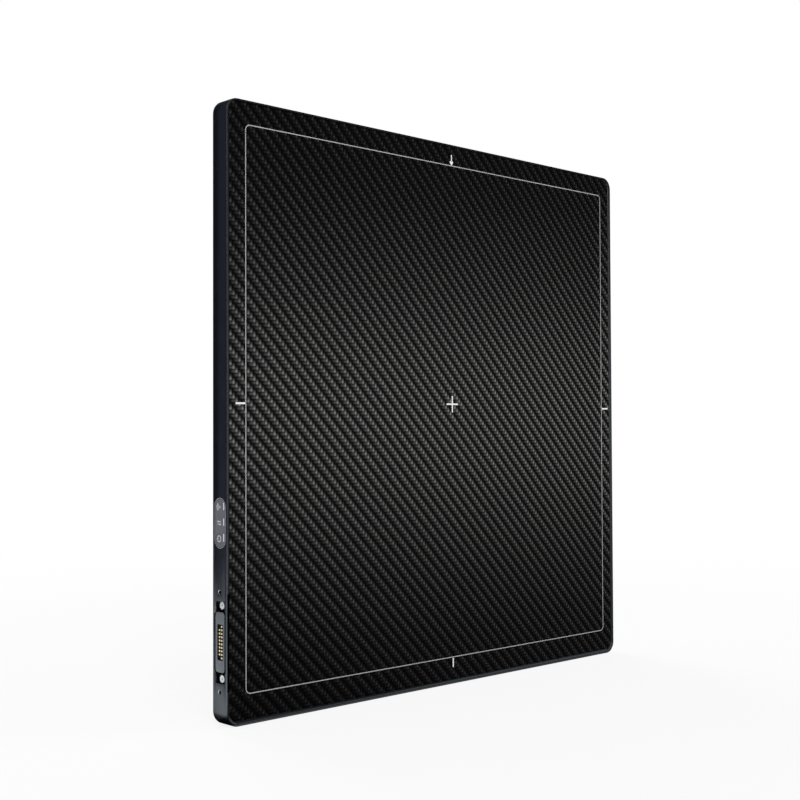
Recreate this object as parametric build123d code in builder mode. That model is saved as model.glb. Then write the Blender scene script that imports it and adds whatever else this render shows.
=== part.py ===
from build123d import *
import os

# Flat panel x-ray detector: a square slab that stands on its bottom edge.
# X runs to the right seen from the front, Y from the front to the back, Z up.
# The origin is at the middle of the bottom edge. All sizes are in millimetres.

# Housing
width = 460.0
height = 460.0
thickness = 18.5
corner_radius = 10.5
front_edge_radius = 1.1
rear_edge_radius = 2.5
wall = 3.0
flange_reach = 12.5
flange_thickness = 1.8
window_corner_radius = 5.0

# Front plate and what bonds it
plate_margin_left = 2.4
plate_margin_right = 4.5
plate_margin_top = 2.0
plate_margin_bottom = 4.2
plate_thickness = 1.2
plate_corner_radius = 7.0
plate_recess = 0.1
plate_gap = 0.15
plate_edge = 0.15
bond_thickness = 0.3
bond_width = 5.0

# Field of view and the sheets behind the plate, from the front to the back
field_width = 425.6
field_height = 418.8
field_shift_x = 0.2
field_shift_z = 2.2
foam_thickness = 1.7
scintillator_margin = 1.0
scintillator_thickness = 0.8
glass_margin = 3.0
glass_thickness = 0.7
shield_margin = 1.0
shield_thickness = 0.5
support_margin = 3.6
support_thickness = 2.0
rib_height = 1.5
rib_thickness = 1.6
rib_count = 3
rib_pitch = 130.0
rib_end_room = 6.0
boss_height = 3.2
boss_radius = 3.0
support_corner_radius = 2.0

# Boards and what stands on them
board_thickness = 1.6
board_hole_inset = 4.5
screw_head_radius = 1.9
screw_head_height = 1.2
readout_board_height = 44.0
readout_board_gap = 8.0
readout_board_lift = 1.5
gate_board_width = 42.0
gate_board_height = 320.0
gate_board_lift = 12.0
main_board_width = 220.0
main_board_height = 150.0
main_board_left_room = 46.0
power_board_width = 92.0
board_spacing = 14.0
board_edge_room = 4.0
radio_board_width = 45.0
radio_board_height = 32.0
radio_board_inset = 20.2
radio_board_lift = 14.0

# Flexes from the glass round the support plate to the boards
flex_thickness = 0.15
flex_lap = 1.6
readout_flex_count = 8
readout_flex_pitch = 51.0
readout_flex_width = 28.0
gate_flex_count = 5
gate_flex_pitch = 68.0
gate_flex_width = 32.0
flex_run = 9.0

# Elastomer buffers round the support plate
buffer_length = 20.0
buffer_grip = 3.0
buffer_height = 5.0
buffer_gap = 0.1
buffer_left_low = -20.0

# Rear cover
cover_margin = 5.0
cover_thickness = 2.0
cover_gap = 0.2
cover_corner_radius = 6.5
cover_screw_head_radius = 2.3
cover_screw_sides = 12
cover_screw_depth = 1.0
cover_screw_gap = 0.05
cover_screw_inset = 3.4
cover_screw_corner_room = 15.0
cover_screws_per_side = 3
seal_width = 1.2
seal_height = 0.6
seal_inset = 6.2

# Grip recesses in the back
grip_length = 140.0
grip_width = 22.0
grip_depth = 5.4
grip_wall = 1.0
grip_inset = 22.0
grip_left_shift = 60.0

# Battery and its bay
battery_width = 200.0
battery_height = 118.0
battery_thickness = 8.6
battery_gap_to_boards = 6.0
battery_corner_radius = 6.0
battery_wall = 3.0
battery_sink = 0.1
battery_floor = 0.8
battery_lid_thickness = 1.2
battery_edge_radius = 0.4
battery_cell_count = 3
battery_cell_height = 86.0
battery_cell_shift = -1.0
battery_cell_room = 0.6
battery_board_height = 8.0
battery_board_length = 150.0
battery_board_thickness = 1.0
battery_chip_count = 5
battery_chip_pitch = 20.0
battery_chip_length = 6.0
battery_chip_width = 5.0
battery_chip_height = 0.9
catch_width = 40.0
catch_height = 7.0
catch_undercut = 2.0
catch_radius = 1.5
catch_depth = 3.0
catch_edge = 5.0
battery_gap = 0.4
bay_wall = 1.0
bay_flange = 4.0
bay_floor_gap = 0.2
cell_gap = 1.0
notch_radius = 1.9
notch_end_room = 0.8
terminal_count = 6
terminal_pitch = 3.0
terminal_size = 2.0
terminal_thickness = 0.4
terminal_x = 82.5
blade_drop = 5.0
blade_cover = 1.6
blade_gap = 0.05

# Thumb latches
latch_travel = 2.4
latch_cap_width = 12.0
latch_cap_height = 24.0
latch_cap_thickness = 1.05
latch_cap_radius = 1.2
latch_pocket_depth = 1.2
latch_pocket_radius = 1.5
latch_pocket_gap = 0.3
latch_neck_width = 4.0
latch_neck_height = 10.0
latch_foot_thickness = 1.0
latch_foot_height = 13.0
latch_foot_length = 16.5
latch_slide_gap = 0.1
latch_neck_gap = 0.05
latch_offset = 12.5
prong_thickness = 0.8
prong_height = 2.9
prong_reach = 3.4
ridge_count = 5
ridge_pitch = 2.0
ridge_width = 0.9
ridge_height = 0.35
ridge_length = 20.0
leaf_thickness = 0.4
leaf_width = 4.4
leaf_length = 44.0
leaf_nose_radius = 1.6
leaf_nose_height = 6.0
leaf_stand_off = 1.0
leaf_cover_room = 3.5
leaf_post_height = 4.0
leaf_post_width = 3.2
leaf_post_end = 1.5
leaf_post_lead = 0.4
leaf_slot_gap = 0.05
leaf_slot_overrun = 0.2

# How far ahead of the thickness's middle the line of the left side's features runs
side_line_lead = 0.5

# Status capsule
capsule_length = 37.2
capsule_width = 14.0
capsule_z = 147.9
capsule_depth = 1.3
capsule_shift = 0.45
capsule_ledge = 1.6
capsule_end_ledge = 3.8
bezel_width = 0.9
bezel_sink = 0.1
bezel_edge = 0.2
window_sink = 0.25
fit_gap = 0.1
key_radius = 4.0
key_z = 136.5
key_shift = -0.75
key_travel = 0.3
key_sink = 0.2
key_flange_radius = 4.7
key_flange_thickness = 0.4
key_well_gap = 0.3
key_flange_sides = 16
key_stem_radius = 1.2
key_stem_sides = 8
key_edge = 0.2
key_bore_gap = 0.12
key_rest_gap = 0.05
dome_radius = 2.2
dome_height = 0.5
dome_edge = 0.35
dome_sides = 12
lamp_count = 3
lamp_pitch = 11.4
lamp_middle_z = 148.9
light_bar_shift = 4.8
light_bar_length = 5.4
light_bar_width = 1.1
light_guide_shift = 5.0
light_guide_width = 1.4
light_guide_length = 3.0
lamp_gap = 0.15
lamp_shift = 4.55
lamp_width = 0.8
lamp_length = 1.6
lamp_height = 0.6
status_board_thickness = 1.0
side_board_gap = 0.35
status_board_length = 40.0

# Docking socket
dock_z = 61.3
dock_pad_half_length = 45.0
dock_recess_depth = 2.2
dock_recess_width = 14.4
dock_recess_length = 44.4
dock_lip = 0.6
dock_lip_depth = 1.2
dock_flare = 2.0
dock_end_width = 11.2
dock_end_length = 59.6
dock_end_shift = 0.55
dock_island_width = 10.8
dock_island_length = 43.8
dock_island_radius = 2.6
dock_island_sink = 0.1
dock_island_edge = 0.3
dock_stem_wall = 0.5
slot_shift = 0.35
slot_width = 7.2
slot_length = 26.0
slot_depth = 0.6
slot_radius = 1.0
slot_edge = 0.25
ring_width = 0.5
ring_height = 0.5
contact_pitch = 2.54
front_row_count = 10
rear_row_count = 8
contact_width = 1.3
contact_length = 1.6
contact_height = 0.2
contact_row_spacing = 2.7
tail_size = 0.5
magnet_radius = 3.1
magnet_sides = 24
magnet_height = 2.0
magnet_lift = 0.3
magnet_spacing = 53.3
magnet_dimple_radius = 0.5
magnet_dimple_depth = 0.3
magnet_dimple_sides = 12
guide_hole_radius = 1.3
guide_hole_depth = 6.0
guide_hole_spacing = 72.6
guide_hole_chamfer = 0.5
dock_board_room = 1.5
dock_board_thickness = 1.0
dock_board_length = 70.0
pinhole_radius = 0.7
pinhole_sides = 12
pinhole_depth = 1.6
pinhole_z = 408.2
pinhole_shift = -3.15

# Radio windows in the top edge
radio_window_length = 60.0
radio_window_width = 8.0
radio_window_spacing = 300.0
radio_window_radius = 2.0
radio_window_gap = 0.1
radio_window_lip = 1.0
antenna_length = 50.0
antenna_width = 7.0
antenna_thickness = 0.4
antenna_wire_radius = 0.5
antenna_wire_bend = 3.0
antenna_wire_drop = 5.0
antenna_wire_step = 6.0
antenna_wire_inset = 4.0

# Places that follow from the sizes above, as depths behind the front face
side_line_depth = thickness / 2 - side_line_lead
front_y = -thickness / 2
middle_z = height / 2
rebate_depth = plate_recess + plate_thickness + bond_thickness
front_flange_back = rebate_depth + flange_thickness
cover_depth = thickness - cover_thickness
rear_flange_front = cover_depth - flange_thickness
plate_back = plate_recess + plate_thickness
scintillator_depth = plate_back + foam_thickness
glass_depth = scintillator_depth + scintillator_thickness
shield_depth = glass_depth + glass_thickness
support_depth = shield_depth + shield_thickness
support_back = support_depth + support_thickness
board_depth = support_back + boss_height
board_back = board_depth + board_thickness
plate_width = width - plate_margin_left - plate_margin_right
plate_height = height - plate_margin_top - plate_margin_bottom
plate_shift_x = (plate_margin_left - plate_margin_right) / 2
plate_shift_z = (plate_margin_bottom - plate_margin_top) / 2
window_width = width - 2 * flange_reach
window_height = height - 2 * flange_reach
glass_width = field_width + 2 * glass_margin
glass_height = field_height + 2 * glass_margin
support_width = field_width + 2 * support_margin
support_height = field_height + 2 * support_margin
support_right = field_shift_x + support_width / 2
support_left = field_shift_x - support_width / 2
support_top = field_shift_z + support_height / 2
support_bottom = field_shift_z - support_height / 2
side_y = front_y + side_line_depth


def behind(depth):
    """Plane parallel to the front face, this deep behind it, drawn as seen from the front."""
    return Plane(origin=(0, front_y + depth, middle_z), x_dir=(1, 0, 0), z_dir=(0, -1, 0))


def from_left(depth, z=0.0):
    """Plane on the left side, this deep inside it, with its first axis towards the front."""
    return Plane(origin=(-width / 2 + depth, side_y, z), x_dir=(0, -1, 0), z_dir=(-1, 0, 0))


def from_top(depth):
    """Plane on the top edge, this deep below it, with its second axis towards the back."""
    return Plane(origin=(0, 0, height - depth), x_dir=(1, 0, 0), z_dir=(0, 0, 1))


def along(count, pitch, middle=0.0):
    """Evenly spaced places, centred on the middle one."""
    return [middle + (index - (count - 1) / 2) * pitch for index in range(count)]


# Places of the two halves of the boards and of the flexes
gate_board_x = support_right - gate_board_width / 2 - board_edge_room
gate_board_z = field_shift_z + gate_board_lift
readout_board_width = (support_width - readout_board_gap) / 2 - board_edge_room
readout_board_z = support_bottom + readout_board_height / 2 + readout_board_lift
readout_board_places = [
    (field_shift_x + side * (readout_board_width + readout_board_gap) / 2, readout_board_z)
    for side in (-1, 1)
]
main_board_z = readout_board_z + readout_board_height / 2 + board_spacing + main_board_height / 2
main_board_x = support_left + main_board_left_room + main_board_width / 2
power_board_x = main_board_x + (main_board_width + power_board_width) / 2 + board_spacing
battery_z = main_board_z + main_board_height / 2 + battery_gap_to_boards + battery_height / 2
radio_board_x = main_board_x - main_board_width / 2 + radio_board_inset
radio_board_z = battery_z + battery_height / 2 + radio_board_lift
gate_flex_places = along(gate_flex_count, gate_flex_pitch, gate_board_z)
readout_flex_places = along(readout_flex_count, readout_flex_pitch, field_shift_x)
cover_width = width - 2 * cover_margin
cover_height = height - 2 * cover_margin
grip_top_z = middle_z - cover_margin - grip_inset
grip_left_x = -(width / 2 - cover_margin - grip_inset)

# Places of the elastomer buffers: between the flexes on the right and the bottom
buffer_side_places = [gate_board_z - gate_flex_pitch * 1.5, gate_board_z + gate_flex_pitch * 1.5]
buffer_left_places = [buffer_left_low, buffer_side_places[1]]
buffer_end_places = [field_shift_x - readout_flex_pitch * 2, field_shift_x + readout_flex_pitch * 2]


def cover_screw_places():
    """Screw places along the four edges of the rear cover."""
    reach_x = cover_width / 2 - cover_screw_inset
    reach_z = cover_height / 2 - cover_screw_inset
    pitch_x = 2 * (reach_x - cover_screw_corner_room) / (cover_screws_per_side - 1)
    pitch_z = 2 * (reach_z - cover_screw_corner_room) / (cover_screws_per_side - 1)
    places = []
    for place in along(cover_screws_per_side, pitch_x):
        places += [(place, reach_z), (place, -reach_z)]
    for place in along(cover_screws_per_side, pitch_z):
        places += [(reach_x, place), (-reach_x, place)]
    return places


def board_hole_places(centre_x, centre_z, board_width, board_height):
    """Four screw places near the corners of one board."""
    reach_x = board_width / 2 - board_hole_inset
    reach_z = board_height / 2 - board_hole_inset
    return [(centre_x + sx * reach_x, centre_z + sz * reach_z) for sx in (-1, 1) for sz in (-1, 1)]


board_places = {
    "gate": (gate_board_x, gate_board_z, gate_board_width, gate_board_height),
    "readout_left": (*readout_board_places[0], readout_board_width, readout_board_height),
    "readout_right": (*readout_board_places[1], readout_board_width, readout_board_height),
    "main": (main_board_x, main_board_z, main_board_width, main_board_height),
    "power": (power_board_x, main_board_z, power_board_width, main_board_height),
    "radio": (radio_board_x, radio_board_z, radio_board_width, radio_board_height),
}
all_board_holes = [place for board in board_places.values() for place in board_hole_places(*board)]

# Places that the docking socket, the radio windows, the battery and its latches share
stem_width = slot_width + 2 * dock_stem_wall
stem_length = slot_length + 2 * dock_stem_wall
ring_outer_width = stem_width + 4 * ring_width
ring_outer_length = stem_length + 4 * ring_width
magnet_places = [(dock_end_shift, side * magnet_spacing / 2) for side in (-1, 1)]
cavity_shift = side_line_depth - (front_flange_back + rear_flange_front) / 2
side_board_width = rear_flange_front - front_flange_back - 2 * side_board_gap
radio_window_places = [(side * radio_window_spacing / 2, 0) for side in (-1, 1)]
battery_back = thickness - battery_sink
battery_front = battery_back - battery_thickness
lid_front = battery_back - battery_lid_thickness
leaf_depth_line = cover_depth - leaf_cover_room
blade_depth = battery_back - blade_drop
bay_width = battery_width + 2 * battery_gap
bay_height = battery_height + 2 * battery_gap
bay_radius = battery_corner_radius + battery_gap
bay_floor_back = battery_front - bay_floor_gap
bay_floor_front = bay_floor_back - bay_wall
bay_flange_front = cover_depth - bay_wall
bay_side = bay_width / 2 + bay_wall
latch_x = battery_width / 2 + latch_offset
pocket_floor = thickness - latch_pocket_depth
foot_back = cover_depth - latch_slide_gap
foot_front = foot_back - latch_foot_thickness
leaf_x = bay_side + leaf_stand_off
seal_outer_width = cover_width - 2 * seal_inset + seal_width
seal_outer_height = cover_height - 2 * seal_inset + seal_width
os.makedirs("parts", exist_ok=True)

# Side frame: a ring with a flange at the front that carries the plate and one at the back for the cover.
# The left side is thicker round the docking socket.
dock_pad_depth = flange_reach - dock_board_room
with BuildPart() as side_frame:
    with BuildSketch(behind(0)):
        RectangleRounded(width, height, corner_radius)
    extrude(amount=-thickness)
    fillet(side_frame.faces().sort_by(Axis.Y)[0].edges(), front_edge_radius)
    fillet(side_frame.faces().sort_by(Axis.Y)[-1].edges(), rear_edge_radius)
    with BuildSketch(behind(0)):
        with Locations((plate_shift_x, plate_shift_z)):
            RectangleRounded(
                plate_width + 2 * plate_gap,
                plate_height + 2 * plate_gap,
                plate_corner_radius + plate_gap,
            )
    extrude(amount=-rebate_depth, mode=Mode.SUBTRACT)
    with BuildSketch(behind(rebate_depth)):
        RectangleRounded(window_width, window_height, window_corner_radius)
    extrude(amount=-thickness, mode=Mode.SUBTRACT)
    with BuildSketch(behind(front_flange_back)):
        RectangleRounded(width - 2 * wall, height - 2 * wall, corner_radius - wall)
        with Locations((-width / 2 + dock_pad_depth / 2, dock_z - middle_z)):
            Rectangle(dock_pad_depth, 2 * dock_pad_half_length, mode=Mode.SUBTRACT)
    extrude(amount=-(rear_flange_front - front_flange_back), mode=Mode.SUBTRACT)
    with BuildSketch(behind(cover_depth)):
        RectangleRounded(cover_width, cover_height, cover_corner_radius)
    extrude(amount=-thickness, mode=Mode.SUBTRACT)
    # Docking recess: a wide middle for the island and a narrower pocket at each end for a magnet.
    # Its first millimetre is wider, which leaves a low lip along the front.
    for start, stop, lip in ((0, dock_lip_depth, 0), (dock_lip_depth, dock_recess_depth, dock_lip)):
        with BuildSketch(from_left(start, dock_z)):
            with Locations((-lip / 2, 0)):
                Rectangle(dock_recess_width - lip, dock_recess_length)
            with Locations((dock_end_shift, 0)):
                Rectangle(dock_end_width, dock_end_length)
            outer_corners = [v for v in vertices() if v.X < fit_gap - dock_recess_width / 2]
            chamfer(outer_corners, length=dock_flare)
        extrude(amount=start - stop, mode=Mode.SUBTRACT)
    # Window for the island's stem, groove for its seal ring and pockets for the magnets
    with BuildSketch(from_left(dock_recess_depth, dock_z)):
        with Locations((slot_shift, 0)):
            Rectangle(stem_width + 2 * fit_gap, stem_length + 2 * fit_gap)
    extrude(amount=-dock_pad_depth, mode=Mode.SUBTRACT)
    with BuildSketch(from_left(dock_recess_depth, dock_z)):
        with Locations((slot_shift, 0)):
            Rectangle(ring_outer_width, ring_outer_length)
            Rectangle(
                ring_outer_width - 2 * ring_width, ring_outer_length - 2 * ring_width, mode=Mode.SUBTRACT
            )
    extrude(amount=-ring_height, mode=Mode.SUBTRACT)
    with BuildSketch(from_left(dock_recess_depth, dock_z)):
        with Locations(*magnet_places):
            RegularPolygon(magnet_radius + fit_gap / 2, magnet_sides)
    extrude(amount=magnet_lift - magnet_height, mode=Mode.SUBTRACT)
    # Guide holes above and below the socket, and the pinhole
    with Locations(from_left(0, dock_z)):
        with Locations((0, guide_hole_spacing / 2), (0, -guide_hole_spacing / 2)):
            CounterSinkHole(
                guide_hole_radius,
                guide_hole_radius + guide_hole_chamfer,
                depth=guide_hole_depth,
                counter_sink_angle=90,
            )
    with BuildSketch(from_left(0, pinhole_z)):
        with Locations((pinhole_shift, 0)):
            RegularPolygon(pinhole_radius, pinhole_sides)
    extrude(amount=-pinhole_depth, mode=Mode.SUBTRACT)
    # Status capsule: a shallow pocket, a well for the key's flange and an opening for lamps and stem
    with BuildSketch(from_left(0, capsule_z)):
        with Locations((capsule_shift, 0)):
            SlotOverall(capsule_length, capsule_width, rotation=90)
    extrude(amount=-capsule_depth, mode=Mode.SUBTRACT)
    with BuildSketch(from_left(capsule_depth, capsule_z)):
        with Locations((capsule_shift, 0)):
            RectangleRounded(
                capsule_width - 2 * capsule_ledge, capsule_length - 2 * capsule_end_ledge, capsule_ledge
            )
        with Locations((key_shift, key_z - capsule_z)):
            RegularPolygon(key_flange_radius + key_well_gap, key_flange_sides)
    extrude(amount=capsule_depth - wall, mode=Mode.SUBTRACT)
    # Openings for the radio windows in the top edge
    with BuildSketch(from_top(0)):
        with Locations(*radio_window_places):
            RectangleRounded(radio_window_length, radio_window_width, radio_window_radius)
    extrude(amount=-wall, mode=Mode.SUBTRACT)

side_frame.part.label = "side_frame"
export_step(side_frame.part, "parts/side_frame.step")

# Front plate of carbon fibre, let into the frame's rebate
with BuildPart() as front_plate:
    with BuildSketch(behind(plate_recess)):
        with Locations((plate_shift_x, plate_shift_z)):
            RectangleRounded(plate_width, plate_height, plate_corner_radius)
    extrude(amount=-plate_thickness)
    chamfer(front_plate.faces().sort_by(Axis.Y)[0].edges(), plate_edge)

front_plate.part.label = "front_plate"
export_step(front_plate.part, "parts/front_plate.step")

# Bond line between the plate and the front flange
with BuildPart() as front_bond:
    with BuildSketch(behind(plate_back)):
        Rectangle(window_width + 2 * bond_width, window_height + 2 * bond_width)
        Rectangle(window_width, window_height, mode=Mode.SUBTRACT)
    extrude(amount=-bond_thickness)

front_bond.part.label = "front_bond"
export_step(front_bond.part, "parts/front_bond.step")


def sheet(depth, sheet_width, sheet_height, sheet_thickness):
    """One flat sheet of the sensor stack, centred on the field."""
    with BuildPart() as piece:
        with BuildSketch(behind(depth)):
            with Locations((field_shift_x, field_shift_z)):
                Rectangle(sheet_width, sheet_height)
        extrude(amount=-sheet_thickness)
    return piece


# Sensor stack, from the front: pressure foam, scintillator, glass panel and lead sheet
pressure_foam = sheet(plate_back, field_width, field_height, foam_thickness)
pressure_foam.part.label = "pressure_foam"
export_step(pressure_foam.part, "parts/pressure_foam.step")

scintillator = sheet(
    scintillator_depth,
    field_width + 2 * scintillator_margin,
    field_height + 2 * scintillator_margin,
    scintillator_thickness,
)
scintillator.part.label = "scintillator"
export_step(scintillator.part, "parts/scintillator.step")

glass_panel = sheet(glass_depth, glass_width, glass_height, glass_thickness)
glass_panel.part.label = "glass_panel"
export_step(glass_panel.part, "parts/glass_panel.step")

lead_sheet = sheet(
    shield_depth, glass_width - 2 * shield_margin, glass_height - 2 * shield_margin, shield_thickness
)
lead_sheet.part.label = "lead_sheet"
export_step(lead_sheet.part, "parts/lead_sheet.step")

# Support plate: a plate with crossed ribs and six-sided pillars for the boards
rib_places_x = along(rib_count, rib_pitch, field_shift_x)
rib_places_z = along(rib_count, rib_pitch, field_shift_z)
with BuildPart() as support_plate:
    with BuildSketch(behind(support_depth)):
        with Locations((field_shift_x, field_shift_z)):
            RectangleRounded(support_width, support_height, support_corner_radius)
    extrude(amount=-support_thickness)
    with BuildSketch(behind(support_back)):
        for place in rib_places_x:
            with Locations((place, field_shift_z)):
                Rectangle(rib_thickness, support_height - 2 * rib_end_room)
        for place in rib_places_z:
            with Locations((field_shift_x, place)):
                Rectangle(support_width - 2 * rib_end_room, rib_thickness)
    extrude(amount=-rib_height)
    with BuildSketch(behind(support_back)):
        with Locations(*all_board_holes):
            RegularPolygon(boss_radius, 6)
    extrude(amount=-boss_height)

support_plate.part.label = "support_plate"
export_step(support_plate.part, "parts/support_plate.step")

# Elastomer buffers: L-shaped blocks that fill the frame's channel and carry the plate's edge from behind


def buffer_section(edge, side, wall_face):
    """Middle and size of the block beside the plate's edge, then of the lip that reaches behind it."""
    start = edge + side * buffer_gap
    stop = side * (wall_face - wall - buffer_gap)
    lip_start = edge - side * buffer_grip
    return (start + stop) / 2, abs(stop - start), (lip_start + stop) / 2, abs(stop - lip_start)


buffer_blocks = []
buffer_lips = []
for edge, side, places in (
    (support_right, 1, buffer_side_places),
    (support_left, -1, buffer_left_places),
):
    middle, across, lip_middle, lip_across = buffer_section(edge, side, width / 2)
    for place in places:
        buffer_blocks.append((middle, place, across, buffer_length))
        buffer_lips.append((lip_middle, place, lip_across, buffer_length))
for edge, side in ((support_top, 1), (support_bottom, -1)):
    middle, across, lip_middle, lip_across = buffer_section(edge, side, height / 2)
    for place in buffer_end_places:
        buffer_blocks.append((place, middle, buffer_length, across))
        buffer_lips.append((place, lip_middle, buffer_length, lip_across))

buffer_front = front_flange_back + buffer_gap
lip_front = support_back + buffer_gap
with BuildPart() as panel_buffers:
    with BuildSketch(behind(buffer_front)):
        for place_x, place_z, across, tall in buffer_blocks:
            with Locations((place_x, place_z)):
                Rectangle(across, tall)
    extrude(amount=-buffer_height)
    with BuildSketch(behind(lip_front)):
        for place_x, place_z, across, tall in buffer_lips:
            with Locations((place_x, place_z)):
                Rectangle(across, tall)
    extrude(amount=-(buffer_front + buffer_height - lip_front))

panel_buffers.part.label = "panel_buffers"
export_step(panel_buffers.part, "parts/panel_buffers.step")


def circuit_board(centre_x, centre_z, board_width, board_height):
    """One board, which stands on a pillar near each corner."""
    with BuildPart() as piece:
        with BuildSketch(behind(board_depth)):
            with Locations((centre_x, centre_z)):
                Rectangle(board_width, board_height)
        extrude(amount=-board_thickness)
    return piece


gate_board = circuit_board(*board_places["gate"])
gate_board.part.label = "gate_board"
export_step(gate_board.part, "parts/gate_board.step")

# The two readout boards are alike
with BuildPart() as readout_boards:
    with BuildSketch(behind(board_depth)):
        with Locations(*readout_board_places):
            Rectangle(readout_board_width, readout_board_height)
    extrude(amount=-board_thickness)

readout_boards.part.label = "readout_boards"
export_step(readout_boards.part, "parts/readout_boards.step")

main_board = circuit_board(*board_places["main"])
main_board.part.label = "main_board"
export_step(main_board.part, "parts/main_board.step")

power_board = circuit_board(*board_places["power"])
power_board.part.label = "power_board"
export_step(power_board.part, "parts/power_board.step")

radio_board = circuit_board(*board_places["radio"])
radio_board.part.label = "radio_board"
export_step(radio_board.part, "parts/radio_board.step")

# Six-sided screw heads that hold the boards on the support plate's pillars
with BuildPart() as board_screws:
    with BuildSketch(behind(board_back)):
        with Locations(*all_board_holes):
            RegularPolygon(screw_head_radius, 6)
    extrude(amount=-screw_head_height)

board_screws.part.label = "board_screws"
export_step(board_screws.part, "parts/board_screws.step")

# Flexes from the glass panel's front face, round the support plate's edge, to the boards' rear faces
flex_start_y = front_y + glass_depth
flex_end_y = front_y + board_back
flex_slope = (flex_end_y - flex_start_y) / 4
flex_inner_radius = (flex_end_y - flex_start_y) / 2
flex_outer_radius = flex_inner_radius + flex_thickness
flex_bend_room = 0.4
chip_length = 14.0
chip_width = 2.0
chip_thickness = 0.7


def flex_outline(start, bend, side):
    """Closed outline of a flex's section: a lap on the glass, a bend and a run on the board."""
    finish = bend - side * flex_run
    Polyline(
        (flex_start_y - flex_thickness, start),
        (flex_start_y - flex_thickness, bend),
        (flex_start_y - flex_thickness + flex_slope, bend + side * flex_outer_radius),
        (flex_end_y + flex_thickness - flex_slope, bend + side * flex_outer_radius),
        (flex_end_y + flex_thickness, bend),
        (flex_end_y + flex_thickness, finish),
        (flex_end_y, finish),
        (flex_end_y, bend),
        (flex_end_y - flex_slope, bend + side * flex_inner_radius),
        (flex_start_y + flex_slope, bend + side * flex_inner_radius),
        (flex_start_y, bend),
        (flex_start_y, start),
        (flex_start_y - flex_thickness, start),
    )


glass_bottom = middle_z + field_shift_z - glass_height / 2
glass_right = field_shift_x + glass_width / 2
readout_bend = middle_z + support_bottom - flex_bend_room
gate_bend = support_right + flex_bend_room
chip_inset = 5.0

with BuildPart() as readout_flexes:
    for place in readout_flex_places:
        section = Plane(
            origin=(place - readout_flex_width / 2, 0, 0), x_dir=(0, 1, 0), z_dir=(1, 0, 0)
        )
        with BuildSketch(section) as flex_section:
            with BuildLine():
                flex_outline(glass_bottom + flex_lap, readout_bend, -1)
            make_face()
        extrude(amount=readout_flex_width)
    with BuildSketch(behind(board_back + flex_thickness)):
        with Locations(*[(place, readout_bend - middle_z + chip_inset) for place in readout_flex_places]):
            Rectangle(chip_length, chip_width)
    extrude(amount=-chip_thickness)

readout_flexes.part.label = "readout_flexes"
export_step(readout_flexes.part, "parts/readout_flexes.step")

with BuildPart() as gate_flexes:
    for place in gate_flex_places:
        section = Plane(
            origin=(0, 0, middle_z + place + gate_flex_width / 2), x_dir=(0, 1, 0), z_dir=(0, 0, -1)
        )
        with BuildSketch(section):
            with BuildLine():
                flex_outline(glass_right - flex_lap, gate_bend, 1)
            make_face()
        extrude(amount=gate_flex_width)
    with BuildSketch(behind(board_back + flex_thickness)):
        with Locations(*[(gate_bend - chip_inset, place) for place in gate_flex_places]):
            Rectangle(chip_width, chip_length)
    extrude(amount=-chip_thickness)

gate_flexes.part.label = "gate_flexes"
export_step(gate_flexes.part, "parts/gate_flexes.step")

# Chips on the main board: two large ones, their memories and the supply parts beside them
large_chip_size = 27.0
small_chip_size = 19.0
large_chip_height = 1.8
large_chip_shift = -34.0
small_chip_shift = 44.0
chip_lift = 14.0
large_chip_place = (main_board_x + large_chip_shift, main_board_z + chip_lift)
small_chip_place = (main_board_x + small_chip_shift, main_board_z + chip_lift)
memory_width = 9.0
memory_length = 13.0
memory_height = 1.1
memory_reach = 24.0
coil_size = 7.0
coil_height = 2.8
coil_drop = 34.0
coil_places = [(place, main_board_z - coil_drop) for place in along(5, 3 * coil_size, main_board_x)]
with BuildPart() as main_board_chips:
    with BuildSketch(behind(board_back)):
        with Locations(large_chip_place):
            Rectangle(large_chip_size, large_chip_size)
        with Locations(small_chip_place):
            Rectangle(small_chip_size, small_chip_size)
    extrude(amount=-large_chip_height)
    with BuildSketch(behind(board_back)):
        for chip_x, chip_z in (large_chip_place, small_chip_place):
            with Locations((chip_x - memory_reach, chip_z), (chip_x + memory_reach, chip_z)):
                Rectangle(memory_width, memory_length)
    extrude(amount=-memory_height)
    with BuildSketch(behind(board_back)):
        with Locations(*coil_places):
            Rectangle(coil_size, coil_size)
    extrude(amount=-coil_height)

main_board_chips.part.label = "main_board_chips"
export_step(main_board_chips.part, "parts/main_board_chips.step")

# Shield cans over the converters on the readout boards, one behind each flex
can_width = 36.0
can_height = 20.0
can_depth = 2.2
can_wall = 0.3
can_drop = 2.0
can_z = readout_board_z - can_drop
with BuildPart() as readout_shields:
    with BuildSketch(behind(board_back)):
        with Locations(*[(place, can_z) for place in readout_flex_places]):
            Rectangle(can_width, can_height)
    extrude(amount=-can_depth)
    with BuildSketch(behind(board_back)):
        with Locations(*[(place, can_z) for place in readout_flex_places]):
            Rectangle(can_width - 2 * can_wall, can_height - 2 * can_wall)
    extrude(amount=can_wall - can_depth, mode=Mode.SUBTRACT)

readout_shields.part.label = "readout_shields"
export_step(readout_shields.part, "parts/readout_shields.step")

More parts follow.
